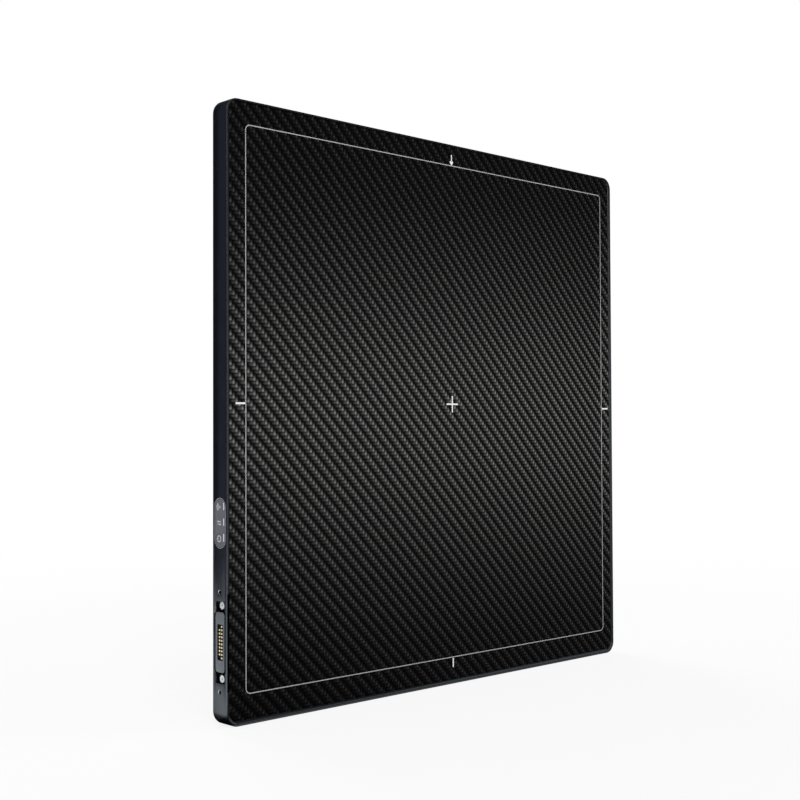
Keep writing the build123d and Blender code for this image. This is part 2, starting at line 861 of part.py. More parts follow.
# Power board: coils, capacitors and the two charging chips
power_coil_size = 14.0
power_coil_height = 3.0
capacitor_width = 4.3
capacitor_length = 7.3
capacitor_height = 2.0
power_chip_size = 8.0
power_chip_height = 1.0
with BuildPart() as power_board_parts:
    with BuildSketch(behind(board_back)):
        for place in along(3, 2 * power_coil_size, main_board_z):
            with Locations((power_board_x - power_coil_size, place)):
                Rectangle(power_coil_size, power_coil_size)
    extrude(amount=-power_coil_height)
    with BuildSketch(behind(board_back)):
        for place in along(6, 2 * capacitor_length, main_board_z):
            with Locations((power_board_x + 2 * capacitor_length, place)):
                Rectangle(capacitor_width, capacitor_length)
    extrude(amount=-capacitor_height)
    with BuildSketch(behind(board_back)):
        for place in along(2, 2 * power_coil_size, main_board_z):
            with Locations((power_board_x, place)):
                Rectangle(power_chip_size, power_chip_size)
    extrude(amount=-power_chip_height)

power_board_parts.part.label = "power_board_parts"
export_step(power_board_parts.part, "parts/power_board_parts.step")

# Shield can over the radio
radio_can_width = 30.0
radio_can_height = 13.0
radio_can_lift = 1.5
radio_can_z = radio_board_z + radio_can_lift
with BuildPart() as radio_shield:
    with BuildSketch(behind(board_back)):
        with Locations((radio_board_x, radio_can_z)):
            Rectangle(radio_can_width, radio_can_height)
    extrude(amount=-can_depth)
    with BuildSketch(behind(board_back)):
        with Locations((radio_board_x, radio_can_z)):
            Rectangle(radio_can_width - 2 * can_wall, radio_can_height - 2 * can_wall)
    extrude(amount=can_wall - can_depth, mode=Mode.SUBTRACT)

radio_shield.part.label = "radio_shield"
export_step(radio_shield.part, "parts/radio_shield.step")

# Flat cables between the boards. Each has a place along the edges, its two board edges and its width.
plug_inset = 4.0
plug_depth = 5.0
plug_margin = 2.0
plug_height = 1.6
cable_thickness = 0.2
cable_lift = 0.4
cable_front = board_back + cable_lift
main_left = main_board_x - main_board_width / 2
main_right = main_board_x + main_board_width / 2
main_top = main_board_z + main_board_height / 2
main_bottom = main_board_z - main_board_height / 2
readout_top = readout_board_z + readout_board_height / 2
readout_cable_width = 20.0
left_readout_cable_x = readout_board_places[0][0] - 12.0
right_readout_cable_x = main_right - 22.0
radio_cable_width = 10.0
power_cable_width = 24.0
power_cable_reach = 26.0
gate_cable_width = 20.0
power_left = power_board_x - power_board_width / 2
power_right = power_board_x + power_board_width / 2
upright_cables = [
    (left_readout_cable_x, readout_top, main_bottom, readout_cable_width),
    (right_readout_cable_x, readout_top, main_bottom, readout_cable_width),
    (radio_board_x, main_top, radio_board_z - radio_board_height / 2, radio_cable_width),
]
level_cables = [
    (main_board_z + power_cable_reach, main_right, power_left, power_cable_width),
    (main_board_z - power_cable_reach, main_right, power_left, power_cable_width),
    (main_board_z, power_right, gate_board_x - gate_board_width / 2, gate_cable_width),
]
status_cable_z = capsule_z - middle_z
dock_cable_lift = 13.5
dock_cable_z = main_bottom + dock_cable_lift
side_cable_width = 9.0
side_plug_x = main_left + plug_inset + plug_depth / 2

with BuildPart() as board_plugs:
    with BuildSketch(behind(board_back)):
        for place, low, high, cable_width in upright_cables:
            for edge, side in ((low, -1), (high, 1)):
                with Locations((place, edge + side * (plug_inset + plug_depth / 2))):
                    Rectangle(cable_width + 2 * plug_margin, plug_depth)
        for place, low, high, cable_width in level_cables:
            for edge, side in ((low, -1), (high, 1)):
                with Locations((edge + side * (plug_inset + plug_depth / 2), place)):
                    Rectangle(plug_depth, cable_width + 2 * plug_margin)
        with Locations((side_plug_x, status_cable_z), (side_plug_x, dock_cable_z)):
            Rectangle(plug_depth, side_cable_width + 2 * plug_margin)
    extrude(amount=-plug_height)

board_plugs.part.label = "board_plugs"
export_step(board_plugs.part, "parts/board_plugs.step")

with BuildPart() as board_cables:
    with BuildSketch(behind(cable_front)):
        for place, low, high, cable_width in upright_cables:
            with Locations((place, (low + high) / 2)):
                Rectangle(cable_width, high - low + 2 * plug_inset)
        for place, low, high, cable_width in level_cables:
            with Locations(((low + high) / 2, place)):
                Rectangle(high - low + 2 * plug_inset, cable_width)
    extrude(amount=-cable_thickness)

board_cables.part.label = "board_cables"
export_step(board_cables.part, "parts/board_cables.step")

# Heat pads between the two large chips and the rear cover
heat_pad_margin = 2.0
with BuildPart() as heat_pads:
    with BuildSketch(behind(board_back + large_chip_height)):
        with Locations(large_chip_place):
            Rectangle(large_chip_size - heat_pad_margin, large_chip_size - heat_pad_margin)
        with Locations(small_chip_place):
            Rectangle(small_chip_size - heat_pad_margin, small_chip_size - heat_pad_margin)
    extrude(amount=board_back + large_chip_height - cover_depth)

heat_pads.part.label = "heat_pads"
export_step(heat_pads.part, "parts/heat_pads.step")

# Plastic windows in the top edge that let the radio through, each with a lip inside the wall
with BuildPart() as radio_windows:
    with BuildSketch(from_top(radio_window_gap)):
        with Locations(*radio_window_places):
            RectangleRounded(
                radio_window_length - 2 * radio_window_gap,
                radio_window_width - 2 * radio_window_gap,
                radio_window_radius - radio_window_gap,
            )
    extrude(amount=radio_window_gap - wall)
    with BuildSketch(from_top(wall)):
        with Locations(*radio_window_places):
            Rectangle(
                radio_window_length + 2 * radio_window_lip,
                radio_window_width + 2 * radio_window_lip,
            )
    extrude(amount=-radio_window_lip)

radio_windows.part.label = "radio_windows"
export_step(radio_windows.part, "parts/radio_windows.step")

# Antenna strips under the windows, each with a wire to the radio board
wire_depth = board_back + antenna_wire_radius
antenna_foot_z = middle_z - wall - radio_window_lip - antenna_thickness
wire_end_z = radio_board_z + radio_board_height / 2 - antenna_wire_inset
wire_run_z = antenna_foot_z - antenna_wire_drop
antenna_left, antenna_right = (place[0] for place in radio_window_places)
with BuildPart() as antennas:
    with BuildSketch(from_top(wall + radio_window_lip)):
        with Locations(*radio_window_places):
            Rectangle(antenna_length, antenna_width)
    extrude(amount=-antenna_thickness)
    with BuildLine(behind(wire_depth)) as short_wire:
        Line((antenna_left, antenna_foot_z), (antenna_left, wire_end_z))
    with BuildSketch(short_wire.line ^ 0):
        RegularPolygon(antenna_wire_radius, 6)
    sweep(path=short_wire.line)
    with BuildLine(behind(wire_depth)) as long_wire:
        FilletPolyline(
            (antenna_right, antenna_foot_z),
            (antenna_right, wire_run_z),
            (antenna_left + antenna_wire_step, wire_run_z),
            (antenna_left + antenna_wire_step, wire_end_z),
            radius=antenna_wire_bend,
        )
    with BuildSketch(long_wire.line ^ 0):
        RegularPolygon(antenna_wire_radius, 6)
    sweep(path=long_wire.line)

antennas.part.label = "antennas"
export_step(antennas.part, "parts/antennas.step")

# Docking island: the raised face of the socket, with a stem through the frame's window
with BuildPart() as dock_island:
    with BuildSketch(from_left(dock_recess_depth, dock_z)):
        RectangleRounded(dock_island_width, dock_island_length, dock_island_radius)
    extrude(amount=dock_recess_depth - dock_island_sink)
    chamfer(dock_island.faces().sort_by(Axis.X)[0].edges(), dock_island_edge)
    with BuildSketch(from_left(dock_recess_depth, dock_z)):
        with Locations((slot_shift, 0)):
            Rectangle(stem_width, stem_length)
    extrude(amount=dock_recess_depth - dock_pad_depth)
    with BuildSketch(from_left(0, dock_z)):
        with Locations((slot_shift, 0)):
            RectangleRounded(slot_width, slot_length, slot_radius)
    extrude(amount=-dock_pad_depth, mode=Mode.SUBTRACT)
    chamfer(dock_island.faces().sort_by(Axis.X)[0].inner_wires().edges(), slot_edge)

dock_island.part.label = "dock_island"
export_step(dock_island.part, "parts/dock_island.step")

# Seal ring under the island
with BuildPart() as dock_seal:
    with BuildSketch(from_left(dock_recess_depth, dock_z)):
        with Locations((slot_shift, 0)):
            Rectangle(ring_outer_width, ring_outer_length)
            Rectangle(
                ring_outer_width - 2 * ring_width, ring_outer_length - 2 * ring_width, mode=Mode.SUBTRACT
            )
    extrude(amount=-ring_height)

dock_seal.part.label = "dock_seal"
export_step(dock_seal.part, "parts/dock_seal.step")

# Contact insulator in the island's slot, with a hole for each contact's tail
insulator_depth = dock_island_sink + slot_depth + contact_height
contact_places = [
    (slot_shift + contact_row_spacing / 2, place) for place in along(front_row_count, contact_pitch)
] + [(slot_shift - contact_row_spacing / 2, place) for place in along(rear_row_count, contact_pitch)]
with BuildPart() as dock_insulator:
    with BuildSketch(from_left(insulator_depth, dock_z)):
        with Locations((slot_shift, 0)):
            RectangleRounded(slot_width - fit_gap, slot_length - fit_gap, slot_radius)
        with Locations(*contact_places):
            Rectangle(tail_size, tail_size, mode=Mode.SUBTRACT)
    extrude(amount=insulator_depth - dock_pad_depth)

dock_insulator.part.label = "dock_insulator"
export_step(dock_insulator.part, "parts/dock_insulator.step")

# Contacts: ten at the front and eight at the back, each with a tail down to the docking board
with BuildPart() as dock_contacts:
    with BuildSketch(from_left(insulator_depth, dock_z)):
        with Locations(*contact_places):
            Rectangle(contact_length, contact_width)
    extrude(amount=contact_height)
    with BuildSketch(from_left(insulator_depth, dock_z)):
        with Locations(*contact_places):
            Rectangle(tail_size, tail_size)
    extrude(amount=insulator_depth - dock_pad_depth)

dock_contacts.part.label = "dock_contacts"
export_step(dock_contacts.part, "parts/dock_contacts.step")

# Magnets that hold the docking plug
with BuildPart() as dock_magnets:
    with BuildSketch(from_left(dock_recess_depth - magnet_lift, dock_z)):
        with Locations(*magnet_places):
            RegularPolygon(magnet_radius, magnet_sides)
    extrude(amount=-magnet_height)
    with BuildSketch(from_left(dock_recess_depth - magnet_lift, dock_z)):
        with Locations(*magnet_places):
            RegularPolygon(magnet_dimple_radius, magnet_dimple_sides)
    extrude(amount=-magnet_dimple_depth, mode=Mode.SUBTRACT)

dock_magnets.part.label = "dock_magnets"
export_step(dock_magnets.part, "parts/dock_magnets.step")

# Docking board behind the socket
with BuildPart() as dock_board:
    with BuildSketch(from_left(dock_pad_depth, dock_z)):
        with Locations((cavity_shift, 0)):
            Rectangle(side_board_width, dock_board_length)
    extrude(amount=-dock_board_thickness)

dock_board.part.label = "dock_board"
export_step(dock_board.part, "parts/dock_board.step")

# Capsule: metal bezel, plastic window, light bars and the round power key
with BuildPart() as capsule_bezel:
    with BuildSketch(from_left(capsule_depth, capsule_z)):
        with Locations((capsule_shift, 0)):
            SlotOverall(capsule_length - fit_gap, capsule_width - fit_gap, rotation=90)
            SlotOverall(
                capsule_length - fit_gap - 2 * bezel_width,
                capsule_width - fit_gap - 2 * bezel_width,
                rotation=90,
                mode=Mode.SUBTRACT,
            )
    extrude(amount=capsule_depth - bezel_sink)
    chamfer(capsule_bezel.faces().sort_by(Axis.X)[0].outer_wire().edges(), bezel_edge)

capsule_bezel.part.label = "capsule_bezel"
export_step(capsule_bezel.part, "parts/capsule_bezel.step")

status_board_depth = wall + fit_gap / 2
light_guide_depth = status_board_depth - lamp_height - lamp_gap - capsule_depth
lamp_places = along(lamp_count, lamp_pitch, lamp_middle_z - capsule_z)
light_bar_places = [(light_bar_shift, place) for place in lamp_places]
with BuildPart() as capsule_window:
    with BuildSketch(from_left(capsule_depth, capsule_z)):
        with Locations((capsule_shift, 0)):
            SlotOverall(
                capsule_length - 2 * fit_gap - 2 * bezel_width,
                capsule_width - 2 * fit_gap - 2 * bezel_width,
                rotation=90,
            )
        with Locations((key_shift, key_z - capsule_z)):
            Circle(key_radius + key_bore_gap, mode=Mode.SUBTRACT)
        with Locations(*light_bar_places):
            Rectangle(light_bar_width, light_bar_length, mode=Mode.SUBTRACT)
    extrude(amount=capsule_depth - window_sink)

capsule_window.part.label = "capsule_window"
export_step(capsule_window.part, "parts/capsule_window.step")

with BuildPart() as light_bars:
    with BuildSketch(from_left(capsule_depth, capsule_z)):
        with Locations(*light_bar_places):
            Rectangle(light_bar_width, light_bar_length)
    extrude(amount=capsule_depth - window_sink)
    with BuildSketch(from_left(capsule_depth, capsule_z)):
        with Locations(*[(light_guide_shift, place) for place in lamp_places]):
            Rectangle(light_guide_width, light_guide_length)
    extrude(amount=-light_guide_depth)

light_bars.part.label = "light_bars"
export_step(light_bars.part, "parts/light_bars.step")

key_flange_depth = capsule_depth + fit_gap
key_stem_end = status_board_depth - dome_height - key_rest_gap
with BuildPart() as power_key:
    with BuildSketch(from_left(key_flange_depth, key_z)):
        with Locations((key_shift, 0)):
            Circle(key_radius)
    extrude(amount=key_flange_depth - key_sink)
    chamfer(power_key.faces().sort_by(Axis.X)[0].edges(), key_edge)
    with BuildSketch(from_left(key_flange_depth, key_z)):
        with Locations((key_shift, 0)):
            RegularPolygon(key_flange_radius, key_flange_sides)
    extrude(amount=-key_flange_thickness)
    with BuildSketch(from_left(key_flange_depth + key_flange_thickness, key_z)):
        with Locations((key_shift, 0)):
            RegularPolygon(key_stem_radius, key_stem_sides)
    extrude(amount=key_flange_depth + key_flange_thickness - key_stem_end)

power_key.part.label = "power_key"
export_step(power_key.part, "parts/power_key.step")

# Snap dome under the key, and the status board that carries it and the lamps
with BuildPart() as key_dome:
    with BuildSketch(from_left(status_board_depth, key_z)):
        with Locations((key_shift, 0)):
            RegularPolygon(dome_radius, dome_sides)
    extrude(amount=dome_height)
    chamfer(key_dome.faces().sort_by(Axis.X)[0].edges(), dome_edge)

key_dome.part.label = "key_dome"
export_step(key_dome.part, "parts/key_dome.step")

with BuildPart() as status_board:
    with BuildSketch(from_left(status_board_depth, capsule_z)):
        with Locations((cavity_shift, 0)):
            Rectangle(side_board_width, status_board_length)
    extrude(amount=-status_board_thickness)

status_board.part.label = "status_board"
export_step(status_board.part, "parts/status_board.step")

with BuildPart() as status_lamps:
    with BuildSketch(from_left(status_board_depth, capsule_z)):
        with Locations(*[(lamp_shift, place) for place in lamp_places]):
            Rectangle(lamp_width, lamp_length)
    extrude(amount=lamp_height)

status_lamps.part.label = "status_lamps"
export_step(status_lamps.part, "parts/status_lamps.step")

# Cables from the side boards: down each board's inner face, then back to the main board's plugs
cable_back_y = front_y + cable_front + cable_thickness
side_cable_drop = 4.0
cable_start_y = cable_back_y - side_cable_drop
side_cable_end = main_left + plug_inset
with BuildPart() as side_cables:
    for inner_depth, place in (
        (status_board_depth + status_board_thickness, status_cable_z),
        (dock_pad_depth + dock_board_thickness, dock_cable_z),
    ):
        inner_x = inner_depth - width / 2
        with BuildSketch(Plane.XY.offset(middle_z + place - side_cable_width / 2)):
            with BuildLine():
                Polyline(
                    (inner_x, cable_start_y),
                    (inner_x + cable_thickness, cable_start_y),
                    (inner_x + cable_thickness, cable_back_y - cable_thickness),
                    (side_cable_end, cable_back_y - cable_thickness),
                    (side_cable_end, cable_back_y),
                    (inner_x, cable_back_y),
                    (inner_x, cable_start_y),
                )
            make_face()
        extrude(amount=side_cable_width)

side_cables.part.label = "side_cables"
export_step(side_cables.part, "parts/side_cables.step")

# Rear cover with openings for the battery and the grips, pockets for the latches and for the screw heads
grip_radius = 6.0
latch_slot_width = latch_neck_width + latch_travel + 2 * latch_pocket_gap
latch_slot_shift = latch_travel / 2
latch_pocket_width = latch_cap_width + latch_travel + 2 * latch_pocket_gap
with BuildPart() as rear_cover:
    with BuildSketch(behind(cover_depth)):
        RectangleRounded(
            cover_width - 2 * cover_gap, cover_height - 2 * cover_gap, cover_corner_radius - cover_gap
        )
        with Locations((0, battery_z)):
            RectangleRounded(bay_width, bay_height, bay_radius, mode=Mode.SUBTRACT)
        with Locations((0, grip_top_z)):
            RectangleRounded(grip_length, grip_width, grip_radius, mode=Mode.SUBTRACT)
        with Locations((grip_left_x, grip_left_shift)):
            RectangleRounded(grip_width, grip_length, grip_radius, mode=Mode.SUBTRACT)
        for side in (-1, 1):
            with Locations((side * (latch_x + latch_slot_shift), battery_z)):
                Rectangle(
                    latch_slot_width, latch_neck_height + 2 * latch_pocket_gap, mode=Mode.SUBTRACT
                )
    extrude(amount=-cover_thickness)
    with BuildSketch(behind(pocket_floor)):
        for side in (-1, 1):
            with Locations((side * (latch_x + latch_slot_shift), battery_z)):
                RectangleRounded(
                    latch_pocket_width, latch_cap_height + 2 * latch_pocket_gap, latch_pocket_radius
                )
    extrude(amount=-latch_pocket_depth, mode=Mode.SUBTRACT)
    with BuildSketch(behind(cover_depth)):
        Rectangle(seal_outer_width, seal_outer_height)
        Rectangle(seal_outer_width - 2 * seal_width, seal_outer_height - 2 * seal_width, mode=Mode.SUBTRACT)
    extrude(amount=-seal_height, mode=Mode.SUBTRACT)
    with BuildSketch(behind(thickness - cover_screw_depth)):
        with Locations(*cover_screw_places()):
            RegularPolygon(cover_screw_head_radius, cover_screw_sides)
    extrude(amount=-cover_screw_depth, mode=Mode.SUBTRACT)

rear_cover.part.label = "rear_cover"
export_step(rear_cover.part, "parts/rear_cover.step")

# Seal in the cover's groove
with BuildPart() as rear_seal:
    with BuildSketch(behind(cover_depth)):
        Rectangle(seal_outer_width, seal_outer_height)
        Rectangle(seal_outer_width - 2 * seal_width, seal_outer_height - 2 * seal_width, mode=Mode.SUBTRACT)
    extrude(amount=-seal_height)

rear_seal.part.label = "rear_seal"
export_step(rear_seal.part, "parts/rear_seal.step")

# Flush heads of the cover's screws
with BuildPart() as cover_screws:
    with BuildSketch(behind(thickness - cover_screw_depth)):
        with Locations(*cover_screw_places()):
            RegularPolygon(cover_screw_head_radius - cover_screw_gap, cover_screw_sides)
    extrude(amount=cover_screw_gap - cover_screw_depth)

cover_screws.part.label = "cover_screws"
export_step(cover_screws.part, "parts/cover_screws.step")


def grip_cup(centre_x, centre_z, cup_width, cup_height):
    """Finger tub under an opening in the cover: a sloping wall all round and a flange to the cover."""
    with BuildPart() as piece:
        with BuildSketch(behind(cover_depth)):
            with Locations((centre_x, centre_z)):
                Rectangle(cup_width + 2 * grip_wall, cup_height + 2 * grip_wall)
        extrude(amount=grip_depth + grip_wall - cover_thickness, taper=grip_taper)
        with BuildSketch(behind(cover_depth)):
            with Locations((centre_x, centre_z)):
                RectangleRounded(cup_width, cup_height, grip_radius)
        extrude(amount=grip_depth - cover_thickness, taper=grip_taper, mode=Mode.SUBTRACT)
    return piece


# Grip recesses at the top and on the left, the two sides that no flexes come round
grip_taper = 12
grip_cup_top = grip_cup(0, grip_top_z, grip_length, grip_width)
grip_cup_top.part.label = "grip_cup_top"
export_step(grip_cup_top.part, "parts/grip_cup_top.step")

grip_cup_left = grip_cup(grip_left_x, grip_left_shift, grip_width, grip_length)
grip_cup_left.part.label = "grip_cup_left"
export_step(grip_cup_left.part, "parts/grip_cup_left.step")

# Battery bay: a tub with a flange under the cover, posts for the two leaves, windows for their noses
# and for the terminals' blades, and a gap in the flange for each latch's foot
leaf_gap_in_flange = latch_foot_height + 2 * latch_pocket_gap
post_z = leaf_length / 2 + leaf_slot_gap - leaf_post_height / 2 + leaf_post_end
post_front = leaf_depth_line - leaf_width / 2 - leaf_post_lead
blade_window_margin = 1.0
blade_window_width = terminal_count * terminal_pitch + 2 * blade_window_margin
blade_window_depth = 2.6
with BuildPart() as battery_bay:
    with BuildSketch(behind(bay_floor_front)):
        with Locations((0, battery_z)):
            Rectangle(bay_width + 2 * bay_wall, bay_height + 2 * bay_wall)
    extrude(amount=bay_floor_front - cover_depth)
    with BuildSketch(behind(bay_flange_front)):
        with Locations((0, battery_z)):
            Rectangle(bay_width + 2 * (bay_wall + bay_flange), bay_height + 2 * (bay_wall + bay_flange))
            for side in (-1, 1):
                with Locations((side * (bay_side + bay_flange / 2), 0)):
                    Rectangle(bay_flange, leaf_gap_in_flange, mode=Mode.SUBTRACT)
    extrude(amount=-bay_wall)
    with BuildSketch(behind(post_front)):
        for side in (-1, 1):
            for end in (-1, 1):
                with Locations((side * (bay_side + leaf_post_width / 2), battery_z + end * post_z)):
                    Rectangle(leaf_post_width, leaf_post_height)
    extrude(amount=post_front - bay_flange_front)
    with BuildSketch(behind(post_front)):
        for side in (-1, 1):
            with Locations((side * (leaf_x + leaf_thickness / 2), battery_z)):
                Rectangle(leaf_thickness + 2 * leaf_slot_gap, leaf_length + 2 * leaf_slot_gap)
    extrude(amount=post_front - bay_flange_front + leaf_slot_overrun, mode=Mode.SUBTRACT)
    with BuildSketch(behind(bay_floor_back)):
        with Locations((0, battery_z)):
            RectangleRounded(bay_width, bay_height, bay_radius)
    extrude(amount=-thickness, mode=Mode.SUBTRACT)
    with BuildSketch(behind(leaf_depth_line - leaf_nose_radius - latch_pocket_gap)):
        with Locations((0, battery_z)):
            Rectangle(2 * bay_side, leaf_nose_height + 2 * latch_pocket_gap)
    extrude(amount=-2 * (leaf_nose_radius + latch_pocket_gap), mode=Mode.SUBTRACT)
    with BuildSketch(behind(blade_depth - blade_window_depth / 2)):
        with Locations((terminal_x, battery_z - bay_height / 2 - bay_wall / 2)):
            Rectangle(blade_window_width, bay_wall)
    extrude(amount=-blade_window_depth, mode=Mode.SUBTRACT)

battery_bay.part.label = "battery_bay"
export_step(battery_bay.part, "parts/battery_bay.step")

# Connector on the power board, and the blades that reach through the bay's window to the battery
bay_bottom = battery_z - bay_height / 2
connector_top = bay_bottom - bay_wall - fit_gap
connector_overlap = 8.0
connector_bottom = main_top - connector_overlap
connector_width = blade_window_width + 2 * blade_window_margin
blade_width = 1.6
blade_thickness = 0.8
terminal_places = along(terminal_count, terminal_pitch, terminal_x)
with BuildPart() as bay_connector:
    with BuildSketch(behind(board_back)):
        with Locations((terminal_x, (connector_top + connector_bottom) / 2)):
            Rectangle(connector_width, connector_top - connector_bottom)
    extrude(amount=board_back - blade_depth - blade_cover)

bay_connector.part.label = "bay_connector"
export_step(bay_connector.part, "parts/bay_connector.step")

blade_tip = bay_bottom + battery_gap - blade_gap
with BuildPart() as bay_blades:
    with BuildSketch(behind(blade_depth - blade_thickness / 2)):
        with Locations(*[(place, (connector_top + blade_tip) / 2) for place in terminal_places]):
            Rectangle(blade_width, blade_tip - connector_top)
    extrude(amount=-blade_thickness)
    chamfer(bay_blades.edges().filter_by(Axis.X).group_by(Axis.Z)[-1], blade_thickness / 4)

bay_blades.part.label = "bay_blades"
export_step(bay_blades.part, "parts/bay_blades.step")

# Battery: a case with a solid rim at the finger catch, notches for the leaves and pockets for the terminals
battery_top = battery_z + battery_height / 2
battery_bottom = battery_z - battery_height / 2
notch_height = leaf_nose_height + 2 * notch_end_room
catch_z = battery_top - catch_edge - catch_height / 2
catch_block_height = catch_edge + catch_height + battery_wall
catch_floor = lid_front - catch_depth
with BuildPart() as battery_case:
    with BuildSketch(behind(battery_front)):
        with Locations((0, battery_z)):
            RectangleRounded(battery_width, battery_height, battery_corner_radius)
    extrude(amount=battery_front - lid_front)
    chamfer(battery_case.faces().sort_by(Axis.Y)[0].edges(), battery_edge_radius)
    with BuildSketch(behind(battery_front + battery_floor)):
        with Locations((0, battery_z)):
            Rectangle(battery_width - 2 * battery_wall, battery_height - 2 * battery_wall)
        with Locations((0, battery_top - catch_block_height / 2)):
            Rectangle(catch_width + 2 * battery_wall, catch_block_height, mode=Mode.SUBTRACT)
    extrude(amount=-thickness, mode=Mode.SUBTRACT)
    with BuildSketch(behind(catch_floor)):
        with Locations((0, catch_z + catch_undercut / 2)):
            RectangleRounded(catch_width, catch_height + catch_undercut, catch_radius)
    extrude(amount=-catch_depth, mode=Mode.SUBTRACT)
    with BuildSketch(Plane.XY.offset(middle_z + battery_z - notch_height / 2)):
        with Locations(
            (bay_width / 2, front_y + leaf_depth_line), (-bay_width / 2, front_y + leaf_depth_line)
        ):
            Circle(notch_radius)
    extrude(amount=notch_height, mode=Mode.SUBTRACT)
    with BuildSketch(Plane.XY.offset(middle_z + battery_bottom)):
        with Locations(*[(place, front_y + blade_depth) for place in terminal_places]):
            Rectangle(terminal_size, terminal_size)
    extrude(amount=terminal_thickness, mode=Mode.SUBTRACT)

battery_case.part.label = "battery_case"
export_step(battery_case.part, "parts/battery_case.step")

with BuildPart() as battery_lid:
    with BuildSketch(behind(lid_front)):
        with Locations((0, battery_z)):
            RectangleRounded(battery_width, battery_height, battery_corner_radius)
        with Locations((0, catch_z)):
            RectangleRounded(catch_width, catch_height, catch_radius, mode=Mode.SUBTRACT)
    extrude(amount=-battery_lid_thickness)
    chamfer(battery_lid.faces().sort_by(Axis.Y)[-1].outer_wire().edges(), battery_edge_radius)

battery_lid.part.label = "battery_lid"
export_step(battery_lid.part, "parts/battery_lid.step")

# Three pouch cells side by side, and the protection board below them
cell_room = battery_width - 2 * battery_wall
cell_width = (cell_room - (battery_cell_count + 1) * cell_gap) / battery_cell_count
cell_thickness = battery_thickness - battery_floor - battery_lid_thickness - battery_cell_room
with BuildPart() as battery_cells:
    with BuildSketch(behind(battery_front + battery_floor)):
        for place in along(battery_cell_count, cell_width + cell_gap):
            with Locations((place, battery_z + battery_cell_shift)):
                Rectangle(cell_width, battery_cell_height)
    extrude(amount=-cell_thickness)

battery_cells.part.label = "battery_cells"
export_step(battery_cells.part, "parts/battery_cells.step")

protection_z = battery_bottom + battery_wall + battery_board_height / 2
battery_chip_places = along(battery_chip_count, battery_chip_pitch)
with BuildPart() as battery_board:
    with BuildSketch(behind(battery_front + battery_floor)):
        with Locations((0, protection_z)):
            Rectangle(battery_board_length, battery_board_height)
    extrude(amount=-battery_board_thickness)
    with BuildSketch(behind(battery_front + battery_floor + battery_board_thickness)):
        with Locations(*[(place, protection_z) for place in battery_chip_places]):
            Rectangle(battery_chip_length, battery_chip_width)
    extrude(amount=-battery_chip_height)

battery_board.part.label = "battery_board"
export_step(battery_board.part, "parts/battery_board.step")

with BuildPart() as battery_terminals:
    with BuildSketch(Plane.XY.offset(middle_z + battery_bottom)):
        with Locations(*[(place, front_y + blade_depth) for place in terminal_places]):
            Rectangle(terminal_size, terminal_size)
    extrude(amount=terminal_thickness)

battery_terminals.part.label = "battery_terminals"
export_step(battery_terminals.part, "parts/battery_terminals.step")


def latch_cap(side):
    """Ribbed thumb slide in the cover's pocket, with a neck that goes down through the slot."""
    with BuildPart() as piece:
        with BuildSketch(behind(pocket_floor + latch_slide_gap)):
            with Locations((side * latch_x, battery_z)):
                RectangleRounded(latch_cap_width, latch_cap_height, latch_cap_radius)
        extrude(amount=-latch_cap_thickness)
        with BuildSketch(behind(pocket_floor + latch_slide_gap + latch_cap_thickness)):
            for place in along(ridge_count - 1, ridge_pitch, side * latch_x):
                with Locations((place, battery_z)):
                    Rectangle(ridge_pitch - ridge_width, ridge_length)
        extrude(amount=ridge_height, mode=Mode.SUBTRACT)
        with BuildSketch(behind(foot_front)):
            with Locations((side * latch_x, battery_z)):
                Rectangle(latch_neck_width, latch_neck_height)
        extrude(amount=foot_front - pocket_floor - latch_slide_gap)
    return piece


def latch_foot(side):
    """Plate under the cover with two prongs that hook behind the leaf, one on each side of its nose."""
    inner = bay_side + fit_gap
    with BuildPart() as piece:
        with BuildSketch(behind(foot_front)):
            with Locations((side * (inner + latch_foot_length / 2), battery_z)):
                Rectangle(latch_foot_length, latch_foot_height)
            with Locations((side * latch_x, battery_z)):
                Rectangle(
                    latch_neck_width + 2 * latch_neck_gap,
                    latch_neck_height + 2 * latch_neck_gap,
                    mode=Mode.SUBTRACT,
                )
        extrude(amount=-latch_foot_thickness)
        with BuildSketch(behind(foot_front - prong_reach)):
            for end in (-1, 1):
                with Locations(
                    (
                        side * (inner + prong_thickness / 2),
                        battery_z + end * (latch_foot_height - prong_height) / 2,
                    )
                ):
                    Rectangle(prong_thickness, prong_height)
        extrude(amount=-prong_reach)
    return piece


# The two battery latches
latch_left_cap = latch_cap(-1)
latch_left_cap.part.label = "latch_left_cap"
export_step(latch_left_cap.part, "parts/latch_left_cap.step")

latch_left_foot = latch_foot(-1)
latch_left_foot.part.label = "latch_left_foot"
export_step(latch_left_foot.part, "parts/latch_left_foot.step")

latch_right_cap = latch_cap(1)
latch_right_cap.part.label = "latch_right_cap"
export_step(latch_right_cap.part, "parts/latch_right_cap.step")

latch_right_foot = latch_foot(1)
latch_right_foot.part.label = "latch_right_foot"
export_step(latch_right_foot.part, "parts/latch_right_foot.step")


def latch_leaf(side):
    """Leaf spring held at both ends by the bay's posts; its rounded nose enters the battery's notch."""
    with BuildPart() as piece:
        with BuildSketch(behind(leaf_depth_line - leaf_width / 2)):
            with Locations((side * (leaf_x + leaf_thickness / 2), battery_z)):
                Rectangle(leaf_thickness, leaf_length)
        extrude(amount=-leaf_width)
        with BuildSketch(Plane.XY.offset(middle_z + battery_z - leaf_nose_height / 2)):
            with Locations((side * (leaf_x + bay_width / 2) / 2, front_y + leaf_depth_line)):
                Rectangle(leaf_x - bay_width / 2, 2 * leaf_nose_radius)
            with Locations((side * bay_width / 2, front_y + leaf_depth_line)):
                Circle(leaf_nose_radius)
        extrude(amount=leaf_nose_height)
    return piece


latch_left_leaf = latch_leaf(-1)
latch_left_leaf.part.label = "latch_left_leaf"
export_step(latch_left_leaf.part, "parts/latch_left_leaf.step")

